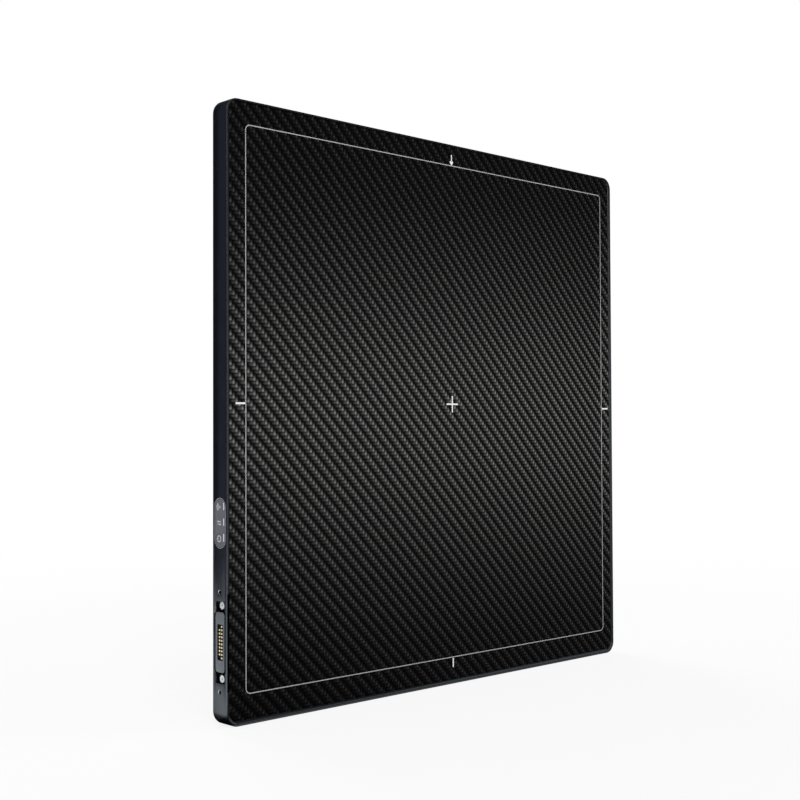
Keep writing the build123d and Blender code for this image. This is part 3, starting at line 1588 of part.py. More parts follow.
latch_right_leaf = latch_leaf(1)
latch_right_leaf.part.label = "latch_right_leaf"
export_step(latch_right_leaf.part, "parts/latch_right_leaf.step")
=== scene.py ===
import math

import bmesh
import bpy
import numpy as np
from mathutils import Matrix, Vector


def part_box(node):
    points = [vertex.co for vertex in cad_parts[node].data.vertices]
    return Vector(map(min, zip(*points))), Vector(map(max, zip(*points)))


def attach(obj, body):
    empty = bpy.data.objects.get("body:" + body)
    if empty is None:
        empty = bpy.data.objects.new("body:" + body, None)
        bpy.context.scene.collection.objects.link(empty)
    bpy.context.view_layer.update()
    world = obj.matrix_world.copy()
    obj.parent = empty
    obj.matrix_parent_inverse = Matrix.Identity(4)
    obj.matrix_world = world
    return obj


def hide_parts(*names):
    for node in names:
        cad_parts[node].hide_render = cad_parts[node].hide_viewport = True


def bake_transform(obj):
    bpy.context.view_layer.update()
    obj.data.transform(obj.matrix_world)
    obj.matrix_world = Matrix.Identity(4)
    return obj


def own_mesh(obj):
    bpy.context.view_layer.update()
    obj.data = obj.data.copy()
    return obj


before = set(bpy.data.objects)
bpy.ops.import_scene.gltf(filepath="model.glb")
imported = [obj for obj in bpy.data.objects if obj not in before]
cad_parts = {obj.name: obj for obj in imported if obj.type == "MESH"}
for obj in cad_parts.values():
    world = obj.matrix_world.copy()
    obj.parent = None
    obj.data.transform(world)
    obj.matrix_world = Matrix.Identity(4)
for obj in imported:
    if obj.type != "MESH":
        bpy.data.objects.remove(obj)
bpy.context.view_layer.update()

# Side frame: one cast ring of light alloy under a dark satin paint. Its rounded front and back edges
# are shaded smooth on a copy of the part, and the paint has a fine orange peel and a little dust. Its
# colour also holds painted shade on the front face, the upper front rounding, the socket's recess and
# the guide holes' bores, and a painted highlight on the guide holes' chamfers.


class Value:
    """The value of one socket. Each arithmetic sign between values adds one Math node."""

    def __init__(self, nodes, socket):
        self.nodes = nodes
        self.socket = socket

    def math(self, operation, *others):
        return self.nodes.node("ShaderNodeMath", {"operation": operation}, self, *others)

    def __add__(self, other):
        return self.math("ADD", other)

    def __radd__(self, other):
        return self.math("ADD", other)

    def __sub__(self, other):
        return self.math("SUBTRACT", other)

    def __rsub__(self, other):
        return self.nodes.node("ShaderNodeMath", {"operation": "SUBTRACT"}, other, self)

    def __mul__(self, other):
        return self.math("MULTIPLY", other)

    def __rmul__(self, other):
        return self.math("MULTIPLY", other)

    def __truediv__(self, other):
        return self.math("DIVIDE", other)

    def __mod__(self, other):
        return self.math("FLOORED_MODULO", other)

    def __pow__(self, other):
        return self.math("POWER", other)

    def __lt__(self, other):
        return self.math("LESS_THAN", other)

    def __gt__(self, other):
        return self.math("GREATER_THAN", other)


class Nodes:
    """The shader nodes of a material or of the world."""

    def __init__(self, owner):
        owner.use_nodes = True
        self.tree = owner.node_tree
        self.tree.nodes.clear()

    def node(self, kind, settings, *inputs, out=0, **named):
        """Adds one node: its settings first, then its sockets' values or links, and gives one output."""
        made = self.tree.nodes.new(kind)
        for key, value in settings.items():
            setattr(made, key, value)
        pairs = list(zip(made.inputs, inputs))
        pairs += [(made.inputs[int(key) if key.isdigit() else key], value) for key, value in named.items()]
        for socket, value in pairs:
            if isinstance(value, Value):
                self.tree.links.new(value.socket, socket)
            else:
                socket.default_value = value
        return Value(self, made.outputs[out]) if made.outputs else None


class Finish(Nodes):
    """One procedural material. Lengths inside it are in millimetres, read from Object coordinates."""

    def __init__(self, name):
        self.material = bpy.data.materials.new(name)
        super().__init__(self.material)
        metres = self.node("ShaderNodeTexCoord", {}, out="Object")
        self.place = self.node("ShaderNodeVectorMath", {"operation": "SCALE"}, metres, Scale=1000.0)
        self.x = self.node("ShaderNodeSeparateXYZ", {}, self.place, out="X")
        self.y = self.node("ShaderNodeSeparateXYZ", {}, self.place, out="Y")
        self.z = self.node("ShaderNodeSeparateXYZ", {}, self.place, out="Z")

    def noise(self, size, detail=2.0, stretch=(1.0, 1.0, 1.0)):
        """Cloudy noise from 0 to 1 whose blots are about this many millimetres across."""
        scaled = self.node("ShaderNodeMapping", {}, self.place, Scale=stretch)
        return self.node("ShaderNodeTexNoise", {}, Vector=scaled, Scale=1.0 / size, Detail=detail)

    def blend(self, factor, low, high):
        """Colour that goes from low to high with the factor."""
        return self.node("ShaderNodeMix", {"data_type": "RGBA"}, out=2, **{"0": factor, "6": low, "7": high})

    def soft_step(self, value, low, high):
        """0 below low, 1 above high and a smooth ramp between."""
        return self.node("ShaderNodeMapRange", {"interpolation_type": "SMOOTHSTEP"}, value, low, high)

    def surface(self, colour, roughness, height=None, relief=0.05, edge=None, crown=None, **fixed):
        """Principled surface. Relief is the height's full depth and edge the eye's rounding of corners,
        both in millimetres. Crown is a vector added to the normal, for a face that bulges a little."""
        sockets = {"Base Color": colour, "Roughness": roughness, **fixed}
        normal = None
        if edge:
            normal = self.node("ShaderNodeBevel", {"samples": 4}, Radius=edge / 1000.0)
        if crown:
            leaning = self.node("ShaderNodeVectorMath", {"operation": "ADD"}, normal, crown)
            normal = self.node("ShaderNodeVectorMath", {"operation": "NORMALIZE"}, leaning)
        if height is not None:
            under = {"Normal": normal} if normal else {}
            normal = self.node("ShaderNodeBump", {}, Height=height, Distance=relief / 1000.0, **under)
        if normal:
            sockets["Normal"] = normal
        return self.close(self.node("ShaderNodeBsdfPrincipled", {}, **sockets))

    def close(self, shader):
        """Leads a shader to the material's output."""
        self.node("ShaderNodeOutputMaterial", {}, shader)
        return self.material


def grey(red, green, blue):
    """Colour from the 0 to 255 values that it shows on a screen."""
    line = [value / 255.0 for value in (red, green, blue)]
    return tuple([v / 12.92 if v < 0.04 else ((v + 0.055) / 1.055) ** 2.4 for v in line] + [1.0])


def weld(mesh):
    """Merges points within a thousandth of a millimetre, joins faces that are flat to half a degree with
    each other, and turns closed shells outwards."""
    work = bmesh.new()
    work.from_mesh(mesh)
    bmesh.ops.remove_doubles(work, verts=work.verts, dist=1e-6)
    bmesh.ops.dissolve_limit(work, angle_limit=math.radians(0.5), verts=work.verts, edges=work.edges)
    bmesh.ops.triangulate(work, faces=[f for f in work.faces if len(f.verts) > 4])
    bmesh.ops.recalc_face_normals(work, faces=work.faces)
    work.to_mesh(mesh)
    work.free()


def smooth_copy(name, body, material, angle=32.0):
    """Smooth-shaded copy of a CAD node that stands for it, sharp at edges of more than this many degrees."""
    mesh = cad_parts[name].data.copy()
    piece = bpy.data.objects.new(name + "_finished", mesh)
    bpy.context.collection.objects.link(piece)
    weld(mesh)
    mesh.shade_smooth()
    mesh.set_sharp_from_angle(angle=math.radians(angle))
    weight = piece.modifiers.new("even_normals", "WEIGHTED_NORMAL")
    weight.keep_sharp = True
    mesh.materials.clear()
    mesh.materials.append(material)
    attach(piece, body)
    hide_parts(name)
    return piece


# The frame's corners in millimetres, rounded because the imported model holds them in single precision
frame_low, frame_high = np.round(np.array(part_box("side_frame")) * 1000.0, 3)
left_face = frame_low[0]
middle_z = (frame_low[2] + frame_high[2]) / 2
side_edge_x = left_face + 1.0
rim_y, rounding_y, rounding_overlap = -8.6, -8.2, 0.1
socket_bottom, socket_top = 26.0, 97.0
pocket_x, pocket_end_x = left_face + 0.6, left_face + 10.0
guide_middle_z, guide_half_spacing, chamfer_radius = 61.3, 36.3, 1.95
chamfer_x, bore_x = left_face + 0.02, left_face + 0.5

paint = Finish("satin_frame_finish")
peel = paint.noise(0.35, 3.0)
dust = paint.soft_step(paint.noise(9.0, 4.0), 0.45, 0.75)
dusty_paint = paint.blend(dust, grey(108, 113, 117), grey(112, 117, 120))
# Painted shade: the front face is painted darker than the sides, and the front rounding a little darker than
# the sides, from 50 mm up and fully from 200 mm.
front_rim = (paint.y < rim_y) * (paint.x > side_edge_x)
on_rounding = (paint.y < rounding_y) * (paint.x < side_edge_x + rounding_overlap)
shaded_front_rounding = on_rounding * paint.soft_step(paint.z, 50.0, 200.0)
rim_with_painted_shade = paint.blend(front_rim, dusty_paint, grey(76, 79, 82))
edges_with_painted_shade = paint.blend(shaded_front_rounding, rim_with_painted_shade, grey(88, 92, 96))

# Painted shade: the socket's recess, from 0.6 mm deep, and the guide holes' bores are painted near black.
pocket_depth = (paint.x > pocket_x) * (paint.x < pocket_end_x)
socket_deep = pocket_depth * (paint.z > socket_bottom) * (paint.z < socket_top)
from_guide_z = (paint.z - guide_middle_z).math("ABSOLUTE") - guide_half_spacing
from_guide = (paint.y ** 2.0 + from_guide_z ** 2.0) ** 0.5
guide_hole = (from_guide < chamfer_radius) * (paint.x > chamfer_x) * (paint.x < pocket_end_x)
bore = guide_hole * (paint.x > bore_x)
pockets_with_painted_shade = paint.blend(socket_deep.math("MAXIMUM", bore), edges_with_painted_shade, grey(16, 17, 19))
# Painted highlight: the guide holes' chamfers are painted pale grey.
chamfers_with_painted_highlight = paint.blend(guide_hole - bore, pockets_with_painted_shade, grey(222, 222, 220))

facing = paint.node("ShaderNodeNewGeometry", {}, out="Normal")
facing_y = paint.node("ShaderNodeSeparateXYZ", {}, facing, out="Y").math("ABSOLUTE")
full_bulge, share_at_floor = 0.66, 0.3
upwards = share_at_floor + (1.0 - share_at_floor) * paint.soft_step(paint.z, 30.0, 180.0)
bulge = full_bulge * paint.soft_step(paint.y, -4.0, 10.0) * (1.0 - facing_y) * upwards
frame_paint = paint.surface(
    chamfers_with_painted_highlight,
    0.34 + 0.05 * dust + 0.03 * peel,
    peel,
    relief=0.006,
    edge=0.25,
    crown=paint.node("ShaderNodeCombineXYZ", {}, Y=bulge),
    Metallic=1.0,
    **{"Specular Tint": (0.25, 0.25, 0.25, 1.0)},
)
smooth_copy("side_frame", "detector", frame_paint)

# Front plate: a laminate of carbon tows, two over and two under, in clear resin, bonded into the frame.
# Its pattern repeats every four tows and its ridges run down to the right. The tows' highlights are
# painted into the colour: each tow is lighter where it is on top, by smooth steps along it and across
# it, an upright tow most towards its lower end, and level tows less than upright ones.


def coat(material, *names):
    """Gives CAD nodes this finish."""
    for name in names:
        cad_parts[name].material_slots[0].material = material


tow, repeat, float_length = 2.709, 4.0, 2.0
first_column_x, first_row_z = -0.21, 2.69
warp_rise, warp_fall, warp_edge, warp_highlight_growth = (-0.05, 0.41), (0.76, 1.23), (0.08, 1.64), (0.3, 0.8)
weft_rise, weft_edge = (-0.07, 0.84), (0.03, 1.69)
least_shine, full_shine, contrast = 0.2, 2.6, 2.2
fibre_size, fibre_stretch, fibre_height = 0.16, 0.05, 0.15

weave = Finish("carbon_twill")
across = (weave.x - first_column_x) / tow
upright = (weave.z - first_row_z) / tow
column = across.math("FLOOR")
row = upright.math("FLOOR")
warp_on_top = ((column + row) % repeat) < 1.5
down_warp = 1.0 - ((upright + column) % repeat) / float_length
along_weft = ((across + row + 2.0) % repeat) / float_length
side_warp = (across.math("FRACT") - 0.5) * 2.0
side_weft = (upright.math("FRACT") - 0.5) * 2.0
# Painted highlight: each tow's reflection is painted into its colour, brightest towards an upright tow's
# lower end.
warp_painted_highlight = (
    weave.soft_step(down_warp, *warp_rise)
    * (1.0 - weave.soft_step(down_warp, *warp_fall))
    * (1.0 - weave.soft_step(side_warp.math("ABSOLUTE"), *warp_edge))
    * (0.45 + 0.55 * weave.soft_step(down_warp, *warp_highlight_growth))
)
weft_middle = 1.0 - weave.soft_step(side_weft.math("ABSOLUTE"), *weft_edge)
weft_painted_highlight = weave.soft_step(along_weft, *weft_rise) * weft_middle
warp_fibres = weave.noise(fibre_size, 2.0, (1.0, 1.0, fibre_stretch))
weft_fibres = weave.noise(fibre_size, 2.0, (fibre_stretch, 1.0, 1.0))
warp_height = 1.0 - side_warp ** 2.0 + fibre_height * warp_fibres
weft_height = 0.7 * (1.0 - side_weft ** 2.0) + fibre_height * weft_fibres
cloth_height = warp_on_top * warp_height + (1.0 - warp_on_top) * weft_height
patchy = 0.85 + 0.3 * weave.noise(5.0, 3.0)
warp_painted_sheen = warp_on_top * warp_painted_highlight * (1.9 + warp_fibres)
weft_painted_sheen = (1.0 - warp_on_top) * weft_painted_highlight * (1.0 + 0.6 * weft_fibres)
weave_painted_highlights = (least_shine + warp_painted_sheen + weft_painted_sheen) * patchy / full_shine
carbon = weave.surface(
    weave.blend(weave_painted_highlights ** contrast, grey(0, 0, 0), grey(146, 145, 144)),
    0.24,
    cloth_height,
    relief=0.02,
    Metallic=1.0,
    **{"Specular Tint": (0.05, 0.05, 0.05, 1.0), "Coat Weight": 0.13, "Coat Roughness": 0.6},
)
coat(carbon, "front_plate")

# Printed marks on the plate: the outline of the sensitive field, a cross at its middle, an arrow at
# the top and a tick on each of the other sides, in light grey ink, a few hundredths thick.
plate_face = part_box("front_plate")[0][1]
ink_lift = 0.00003


def new_piece(name, points, faces, material):
    """Object from points (N, 3) in metres and the faces between them, given as lists of point numbers."""
    mesh = bpy.data.meshes.new(name)
    mesh.from_pydata(np.asarray(points).tolist(), [], faces)
    mesh.materials.append(material)
    piece = bpy.data.objects.new(name, mesh)
    bpy.context.collection.objects.link(piece)
    return piece


def printed(name, body, points, faces, material):
    """Thin layer of ink that moves with a body."""
    piece = new_piece(name, points, faces, material)
    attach(piece, body)


def on_plate(points):
    """Points (X, Z) in millimetres from the plate's middle, laid just in front of its face in metres."""
    flat = np.asarray(points, dtype=float) / 1000.0
    depth = np.full(len(flat), plate_face - ink_lift)
    return np.column_stack([flat[:, 0], depth, flat[:, 1] + middle_z / 1000.0])


def rounded_ring(centre_x, centre_z, wide, tall, radius, steps=9):
    """Points round a rounded rectangle, anticlockwise from its right side: four arcs of a circle."""
    quarter = np.linspace(0.0, math.pi / 2, steps)
    corners = np.array([[1, 1], [-1, 1], [-1, -1], [1, -1]])
    angle = np.arange(4)[:, None] * math.pi / 2 + quarter[None, :]
    x = corners[:, :1] * (wide / 2 - radius) + radius * np.cos(angle)
    z = corners[:, 1:] * (tall / 2 - radius) + radius * np.sin(angle)
    return np.column_stack([centre_x + x.ravel(), centre_z + z.ravel()])


def band(count):
    """Faces of a closed band between an outer ring and an inner ring of as many points, facing forwards."""
    here = np.arange(count)
    after = (here + 1) % count
    return np.column_stack([here, after, after + count, here + count]).tolist()


field_centre = (0.25, 2.18)
field_wide, field_tall, field_radius = 425.65, 418.82, 4.0
line_width, line_rounding = 0.75, 0.4
outline_ink = Finish("outline_ink")
speckle = outline_ink.noise(1.2, 3.0)
outline_grey = outline_ink.blend(speckle, grey(150, 151, 152), grey(178, 179, 180))
outline_paint = outline_ink.surface(outline_grey, 0.5, speckle, relief=0.01)
outer, inner = [
    rounded_ring(
        *field_centre,
        field_wide + way * line_width,
        field_tall + way * line_width,
        field_radius + way * line_rounding,
    )
    for way in (1, -1)
]
printed("field_outline", "detector", on_plate(np.vstack([outer, inner])), band(len(outer)), outline_paint)

mark_ink = Finish("mark_ink")
mark_speckle = mark_ink.noise(0.8, 3.0)
mark_grey = mark_ink.blend(mark_speckle, grey(226, 227, 228), grey(242, 242, 242))
mark_paint = mark_ink.surface(mark_grey, 0.5, mark_speckle, relief=0.01)
bar = 0.7
cross_x, cross_z = 6.1, 7.3
cross_wide, cross_tall = 6.9, 7.0
tick_x, tick_z = 5.7, 5.4
bottom_tick, left_tick, right_tick = (-215.7, -208.1), (-221.8, -212.5), (212.8, 222.8)
bars = np.array(
    [
        [[cross_x - cross_wide, cross_z - bar], [cross_x + cross_wide, cross_z + bar]],
        [[cross_x - bar, cross_z + bar], [cross_x + bar, cross_z + cross_tall]],
        [[cross_x - bar, cross_z - cross_tall], [cross_x + bar, cross_z - bar]],
        [[tick_x - bar, bottom_tick[0]], [tick_x + bar, bottom_tick[1]]],
        [[left_tick[0], tick_z - bar], [left_tick[1], tick_z + bar]],
        [[right_tick[0], tick_z - bar], [right_tick[1], tick_z + bar]],
    ]
)
bar_low, bar_high = bars[:, 0], bars[:, 1]
right_below = np.column_stack([bar_high[:, 0], bar_low[:, 1]])
left_above = np.column_stack([bar_low[:, 0], bar_high[:, 1]])
bar_points = np.stack([bar_low, right_below, bar_high, left_above], axis=1).reshape(-1, 2)
bar_faces = (np.arange(len(bars))[:, None] * 4 + np.arange(4)).tolist()
printed("centre_and_side_marks", "detector", on_plate(bar_points), bar_faces, mark_paint)

arrow_x, arrow_tip, arrow_top = 6.45, 211.7, 221.0
shaft, shaft_end = 0.6, 214.9
shoulder, shoulder_z, heel, heel_z = 2.1, 214.6, 1.45, 215.6
arrow_points = [
    [arrow_x - shaft, arrow_top],
    [arrow_x - shaft, shaft_end],
    [arrow_x + shaft, shaft_end],
    [arrow_x + shaft, arrow_top],
    [arrow_x, arrow_tip],
    [arrow_x + shoulder, shoulder_z],
    [arrow_x + heel, heel_z],
    [arrow_x - heel, heel_z],
    [arrow_x - shoulder, shoulder_z],
]
printed("top_arrow", "detector", on_plate(arrow_points), [[0, 1, 2, 3], [4, 5, 6, 7, 8]], mark_paint)

# Bond line, foam, scintillator, glass, shielding sheet and support plate: the stack behind the front
# plate. The foam is soft and open, the scintillator smooth white, the glass coated, the metals bare.
# The bond line and the seals and buffers further back are black rubber.
foam = Finish("soft_foam")
pores = foam.noise(0.5, 4.0)
foam_grey = foam.blend(pores, grey(30, 30, 32), grey(58, 58, 60))
coat(foam.surface(foam_grey, 0.9, pores, relief=0.15), "pressure_foam")

gum = Finish("black_rubber")
gum_grain = gum.noise(0.4, 3.0)
gum_black = gum.blend(gum_grain, grey(24, 24, 25), grey(36, 36, 37))
rubber = gum.surface(gum_black, 0.75, gum_grain, relief=0.03)
coat(rubber, "front_bond", "panel_buffers", "rear_seal", "dock_seal")

layer = Finish("white_scintillator")
layer_grain = layer.noise(0.2, 3.0)
layer_white = layer.blend(layer_grain, grey(228, 230, 226), grey(240, 241, 238))
coat(layer.surface(layer_white, 0.45, layer_grain, relief=0.01), "scintillator")

pixel_pitch, pixel_line = 0.14, 0.12
pane = Finish("coated_glass")
pixel_x = ((pane.x / pixel_pitch) % 1.0) < pixel_line
pixel_z = ((pane.z / pixel_pitch) % 1.0) < pixel_line
pixel_grid = pixel_x.math("MAXIMUM", pixel_z)
pane_grey = pane.blend(pixel_grid, grey(62, 74, 84), grey(96, 110, 120))
coat(pane.surface(pane_grey, 0.08, Metallic=0.3), "glass_panel")

sheet_metal = Finish("shielding_sheet")
rolled = sheet_metal.noise(1.5, 3.0, (0.05, 1.0, 1.0))
sheet_grey = sheet_metal.blend(rolled, grey(92, 94, 98), grey(118, 120, 124))
coat(sheet_metal.surface(sheet_grey, 0.5, rolled, relief=0.02, Metallic=0.9), "lead_sheet")

casting = Finish("cast_alloy")
grain = casting.noise(0.6, 4.0)
alloy_grey = casting.blend(grain, grey(150, 152, 154), grey(176, 178, 180))
coat(casting.surface(alloy_grey, 0.5, grain, relief=0.05, edge=0.2, Metallic=0.9), "support_plate")

# Circuit boards: green solder mask over copper tracks, with pads, chips, shield cans and plugs. Those
# behind the panel are screwed to the support plate's pillars. Tracks run in two directions by area, as
# a layout program lays them.
track_pitch, track_width = 0.8, 0.35
board = Finish("green_board")
track_x = ((board.x / track_pitch) % 1.0) < track_width
track_z = ((board.z / track_pitch) % 1.0) < track_width
area = board.noise(22.0, 1.0) > 0.5
tracks = area * track_x + (1.0 - area) * track_z
pads = (board.noise(2.4, 0.0) > 0.68) * (1.0 - tracks)
masked = board.blend(tracks, grey(22, 74, 46), grey(34, 96, 58))
coat(
    board.surface(board.blend(pads, masked, grey(188, 180, 150)), 0.35, tracks, relief=0.03),
    "main_board",
    "power_board",
    "gate_board",
    "readout_boards",
    "radio_board",
    "dock_board",
    "status_board",
    "battery_board",
)

resin = Finish("chip_resin")
resin_grain = resin.noise(0.1, 3.0)
resin_black = resin.blend(resin_grain, grey(28, 28, 29), grey(42, 42, 43))
chip = resin.surface(resin_black, 0.6, resin_grain, relief=0.01, edge=0.1)
coat(chip, "main_board_chips", "power_board_parts", "bay_connector")

tin = Finish("tinned_sheet")
tin_brush = tin.noise(0.5, 2.0, (0.05, 1.0, 1.0))
tin_grey = tin.blend(tin_brush, grey(176, 176, 172), grey(202, 202, 198))
tinned = tin.surface(tin_grey, 0.32, tin_brush, relief=0.01, edge=0.2, Metallic=1.0)
coat(tinned, "readout_shields", "radio_shield", "board_screws")

film = Finish("amber_film")
strips = ((film.x / 0.5) % 1.0) < 0.5
film_amber = film.blend(strips, grey(160, 98, 34), grey(190, 128, 60))
amber = film.surface(film_amber, 0.25, strips, relief=0.01)
coat(amber, "readout_flexes", "gate_flexes", "side_cables", "antennas")

ribbon = Finish("white_ribbon")
ribbed = ((ribbon.x / 1.0) % 1.0) < 0.5
ribbon_white = ribbon.blend(ribbed, grey(205, 205, 202), grey(222, 222, 220))
coat(ribbon.surface(ribbon_white, 0.4, ribbed, relief=0.03), "board_cables")

ivory = Finish("ivory_plug")
ivory_grain = ivory.noise(0.3, 3.0)
ivory_shade = ivory.blend(ivory_grain, grey(196, 188, 168), grey(210, 203, 184))
coat(ivory.surface(ivory_shade, 0.5, ivory_grain, relief=0.01, edge=0.15), "board_plugs")

heat_pad = Finish("heat_pad")
pad_grain = heat_pad.noise(0.3, 4.0)
pad_blue = heat_pad.blend(pad_grain, grey(112, 134, 150), grey(132, 152, 166))
coat(heat_pad.surface(pad_blue, 0.8, pad_grain, relief=0.03), "heat_pads")

# Docking socket: a satin grey island in a recess, a black insulator in its slot with two rows of
# gold-plated contacts, and two nickel-plated magnets with a small dimple, set in pockets of the frame.
# The recess, the island's sides in it and the magnets' rims and dimples are darkened with painted shade.
island_wall_x = left_face + 0.45
island = Finish("satin_island")
blast = island.noise(0.12, 3.0)
island_face = island.blend(blast, grey(108, 114, 118), grey(118, 124, 128))
# Painted shade: the island's sides, more than 0.45 mm into the recess, are painted near black.
island_with_painted_shade = island.blend(island.x > island_wall_x, island_face, grey(14, 14, 15))
island_grey = island.surface(island_with_painted_shade, 0.42, blast, relief=0.008, edge=0.2, Metallic=0.3)
smooth_copy("dock_island", "detector", island_grey)

black = Finish("black_moulding")
black_grain = black.noise(0.15, 3.0)
black_shade = black.blend(black_grain, grey(6, 6, 7), grey(14, 14, 15))
insulator = black.surface(black_shade, 0.6, black_grain, relief=0.01, **{"Specular IOR Level": 0.15})
coat(insulator, "dock_insulator")

gold = Finish("contact_gold")
gold_wear = gold.noise(0.3, 3.0)
gold_shade = gold.blend(gold_wear, grey(246, 222, 170), grey(255, 242, 206))
gilt = gold.surface(gold_shade, 0.25, gold_wear, relief=0.01, edge=0.15, Metallic=0.35)
coat(gilt, "dock_contacts", "bay_blades", "battery_terminals")

magnet_rim, dimple_radius = 0.45, 0.5
magnet_low, magnet_high = np.array(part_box("dock_magnets")) * 1000.0
magnet_radius = (magnet_high[1] - magnet_low[1]) / 2
magnet_middle = (magnet_high + magnet_low) / 2
magnet_rise = (magnet_high[2] - magnet_low[2]) / 2 - magnet_radius
nickel = Finish("bright_nickel")
nickel_wear = nickel.noise(0.5, 4.0)
from_magnet_z = (nickel.z - magnet_middle[2]).math("ABSOLUTE") - magnet_rise
from_magnet = ((nickel.y - magnet_middle[1]) ** 2.0 + from_magnet_z ** 2.0) ** 0.5
# Painted shade: a 0.45 mm ring at each magnet's edge and the dimple in its middle are painted dark grey.
rim_and_dimple_shade_mask = (from_magnet > magnet_radius - magnet_rim).math("MAXIMUM", from_magnet < dimple_radius)
plated = nickel.blend(nickel_wear, grey(236, 237, 238), grey(250, 250, 250))
nickel_with_painted_shade = nickel.blend(rim_and_dimple_shade_mask, plated, grey(70, 72, 76))
nickel_plate = nickel.surface(nickel_with_painted_shade, 0.3, nickel_wear, relief=0.01, Metallic=0.1)
smooth_copy("dock_magnets", "detector", nickel_plate)

# Status capsule: a satin metal bezel let into the frame, with a painted highlight along its outer edge, a
# smoked plastic window with three light bars and printed signs, and the round power key, which is level with
# the window. Under the key, a dome of spring steel on the status board snaps flat when it is pressed.
line_inside, line_outside = 0.7, 0.4
bezel_low, bezel_high = np.array(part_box("capsule_bezel")) * 1000.0
bezel_middle = (bezel_low + bezel_high) / 2
bezel_radius = (bezel_high[1] - bezel_low[1]) / 2
bezel_rise = (bezel_high[2] - bezel_low[2]) / 2 - bezel_radius
bezel = Finish("satin_bezel")
bezel_grain = bezel.noise(0.1, 3.0)
past_end = ((bezel.z - bezel_middle[2]).math("ABSOLUTE") - bezel_rise).math("MAXIMUM", 0.0)
from_spine = ((bezel.y - bezel_middle[1]) ** 2.0 + past_end ** 2.0) ** 0.5
# Painted highlight: a pale band round the bezel's outer edge.
painted_rim_highlight = bezel.soft_step(from_spine, bezel_radius - line_inside, bezel_radius - line_outside)
satin = bezel.blend(bezel_grain, grey(70, 72, 76), grey(78, 80, 84))
bezel_with_painted_highlight = bezel.blend(painted_rim_highlight, satin, grey(168, 172, 174))
bezel_metal = bezel.surface(bezel_with_painted_highlight, 0.4, bezel_grain, relief=0.01, Metallic=0.1)
smooth_copy("capsule_bezel", "detector", bezel_metal)

smoke = Finish("smoked_window")
smoke_grain = smoke.noise(0.25, 3.0)
smoke_grey = smoke.blend(smoke_grain, grey(106, 108, 113), grey(114, 116, 121))
window_grey = smoke.surface(smoke_grey, 0.3, smoke_grain, relief=0.004, edge=0.1)
smooth_copy("capsule_window", "detector", window_grey)
smooth_copy("power_key", "power_key", window_grey)

sign_ink = Finish("sign_ink")
sign_speckle = sign_ink.noise(0.5, 3.0)
sign_grey = sign_ink.blend(sign_speckle, grey(214, 217, 219), grey(228, 230, 231))
sign_paint = sign_ink.surface(sign_grey, 0.45, sign_speckle, relief=0.005)
sign_middle, arrow_stroke = -0.2, 0.55


def sign_stroke(line, width):
    """Flat stroke along a centreline (N points): its two edges lie half a width along the line's normals."""
    line = np.asarray(line, dtype=float)
    way = np.gradient(line, axis=0)
    way /= np.linalg.norm(way, axis=1)[:, None]
    normal = np.column_stack([-way[:, 1], way[:, 0]]) * width / 2
    here = np.arange(len(line) - 1)
    faces = np.column_stack([here, here + 1, here + 1 + len(line), here + len(line)])
    return np.vstack([line + normal, line - normal]), faces


def arc(centre, radius, start, end, steps=15):
    """Points of an arc about its centre, with its angles in degrees."""
    angle = np.radians(np.linspace(start, end, steps))
    return np.column_stack([centre[0] + radius * np.cos(angle), centre[1] + radius * np.sin(angle)])


def sign(name, body, strokes, face):
    """Printed sign on a face: flat strokes whose points are (towards the front, up) from the frame's middle,
    in millimetres."""
    points, faces, start = [], [], 0
    for line, width in strokes:
        made, quads = sign_stroke(line, width)
        points.append(made)
        faces.append(quads + start)
        start += len(made)
    flat = np.vstack(points) / 1000.0
    depth = np.full(len(flat), face - ink_lift)
    place = np.column_stack([depth, -flat[:, 0], flat[:, 1] + middle_z / 1000.0])
    printed(name, body, place, np.vstack(faces).tolist(), sign_paint)


def arrow_strokes(height, way):
    """Shaft and head of an arrow at this height, which points to the front with 1 and to the back with -1."""
    tip = sign_middle + way * 2.1
    shaft_line = [(sign_middle - way * 1.9, height), (sign_middle + way * 1.9, height)]
    head_line = [(tip - way * 1.2, height + 0.8), (tip, height), (tip - way * 1.2, height - 0.8)]
    return [(shaft_line, arrow_stroke), (head_line, arrow_stroke)]


window_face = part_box("capsule_window")[0][0]
radio = (sign_middle + 1.1, -70.4)
radio_arcs = [
    (arc(radio, 0.4, 0, 360, 13), 0.45),
    (arc(radio, 1.55, 130, 230), 0.5),
    (arc(radio, 2.7, 132, 228), 0.5),
    (arc(radio, 3.85, 134, 226), 0.5),
]
sign("radio_sign", "detector", radio_arcs, window_face)
sign("exchange_sign", "detector", arrow_strokes(-81.0, -1) + arrow_strokes(-82.9, 1), window_face)

key_low, key_high = np.array(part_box("power_key")) * 1000.0
key_centre = (-(key_low[1] + key_high[1]) / 2, (key_low[2] + key_high[2]) / 2 - middle_z)
ring_radius, ring_gap, power_stroke = 2.15, 24, 0.6
power_ring = arc(key_centre, ring_radius, 180 + ring_gap, 540 - ring_gap, 31)
power_line = [(key_centre[0] - 0.7, key_centre[1]), (key_centre[0] - 2.6, key_centre[1])]
sign("power_sign", "power_key", [(power_ring, power_stroke), (power_line, power_stroke)], key_low[0] / 1000.0)

milk = Finish("milky_light_bar")
milk_cloud = milk.noise(0.8, 2.0)
milk_white = milk.blend(milk_cloud, grey(232, 234, 235), grey(246, 247, 247))
coat(milk.surface(milk_white, 0.3, milk_cloud, relief=0.01), "light_bars", "status_lamps")

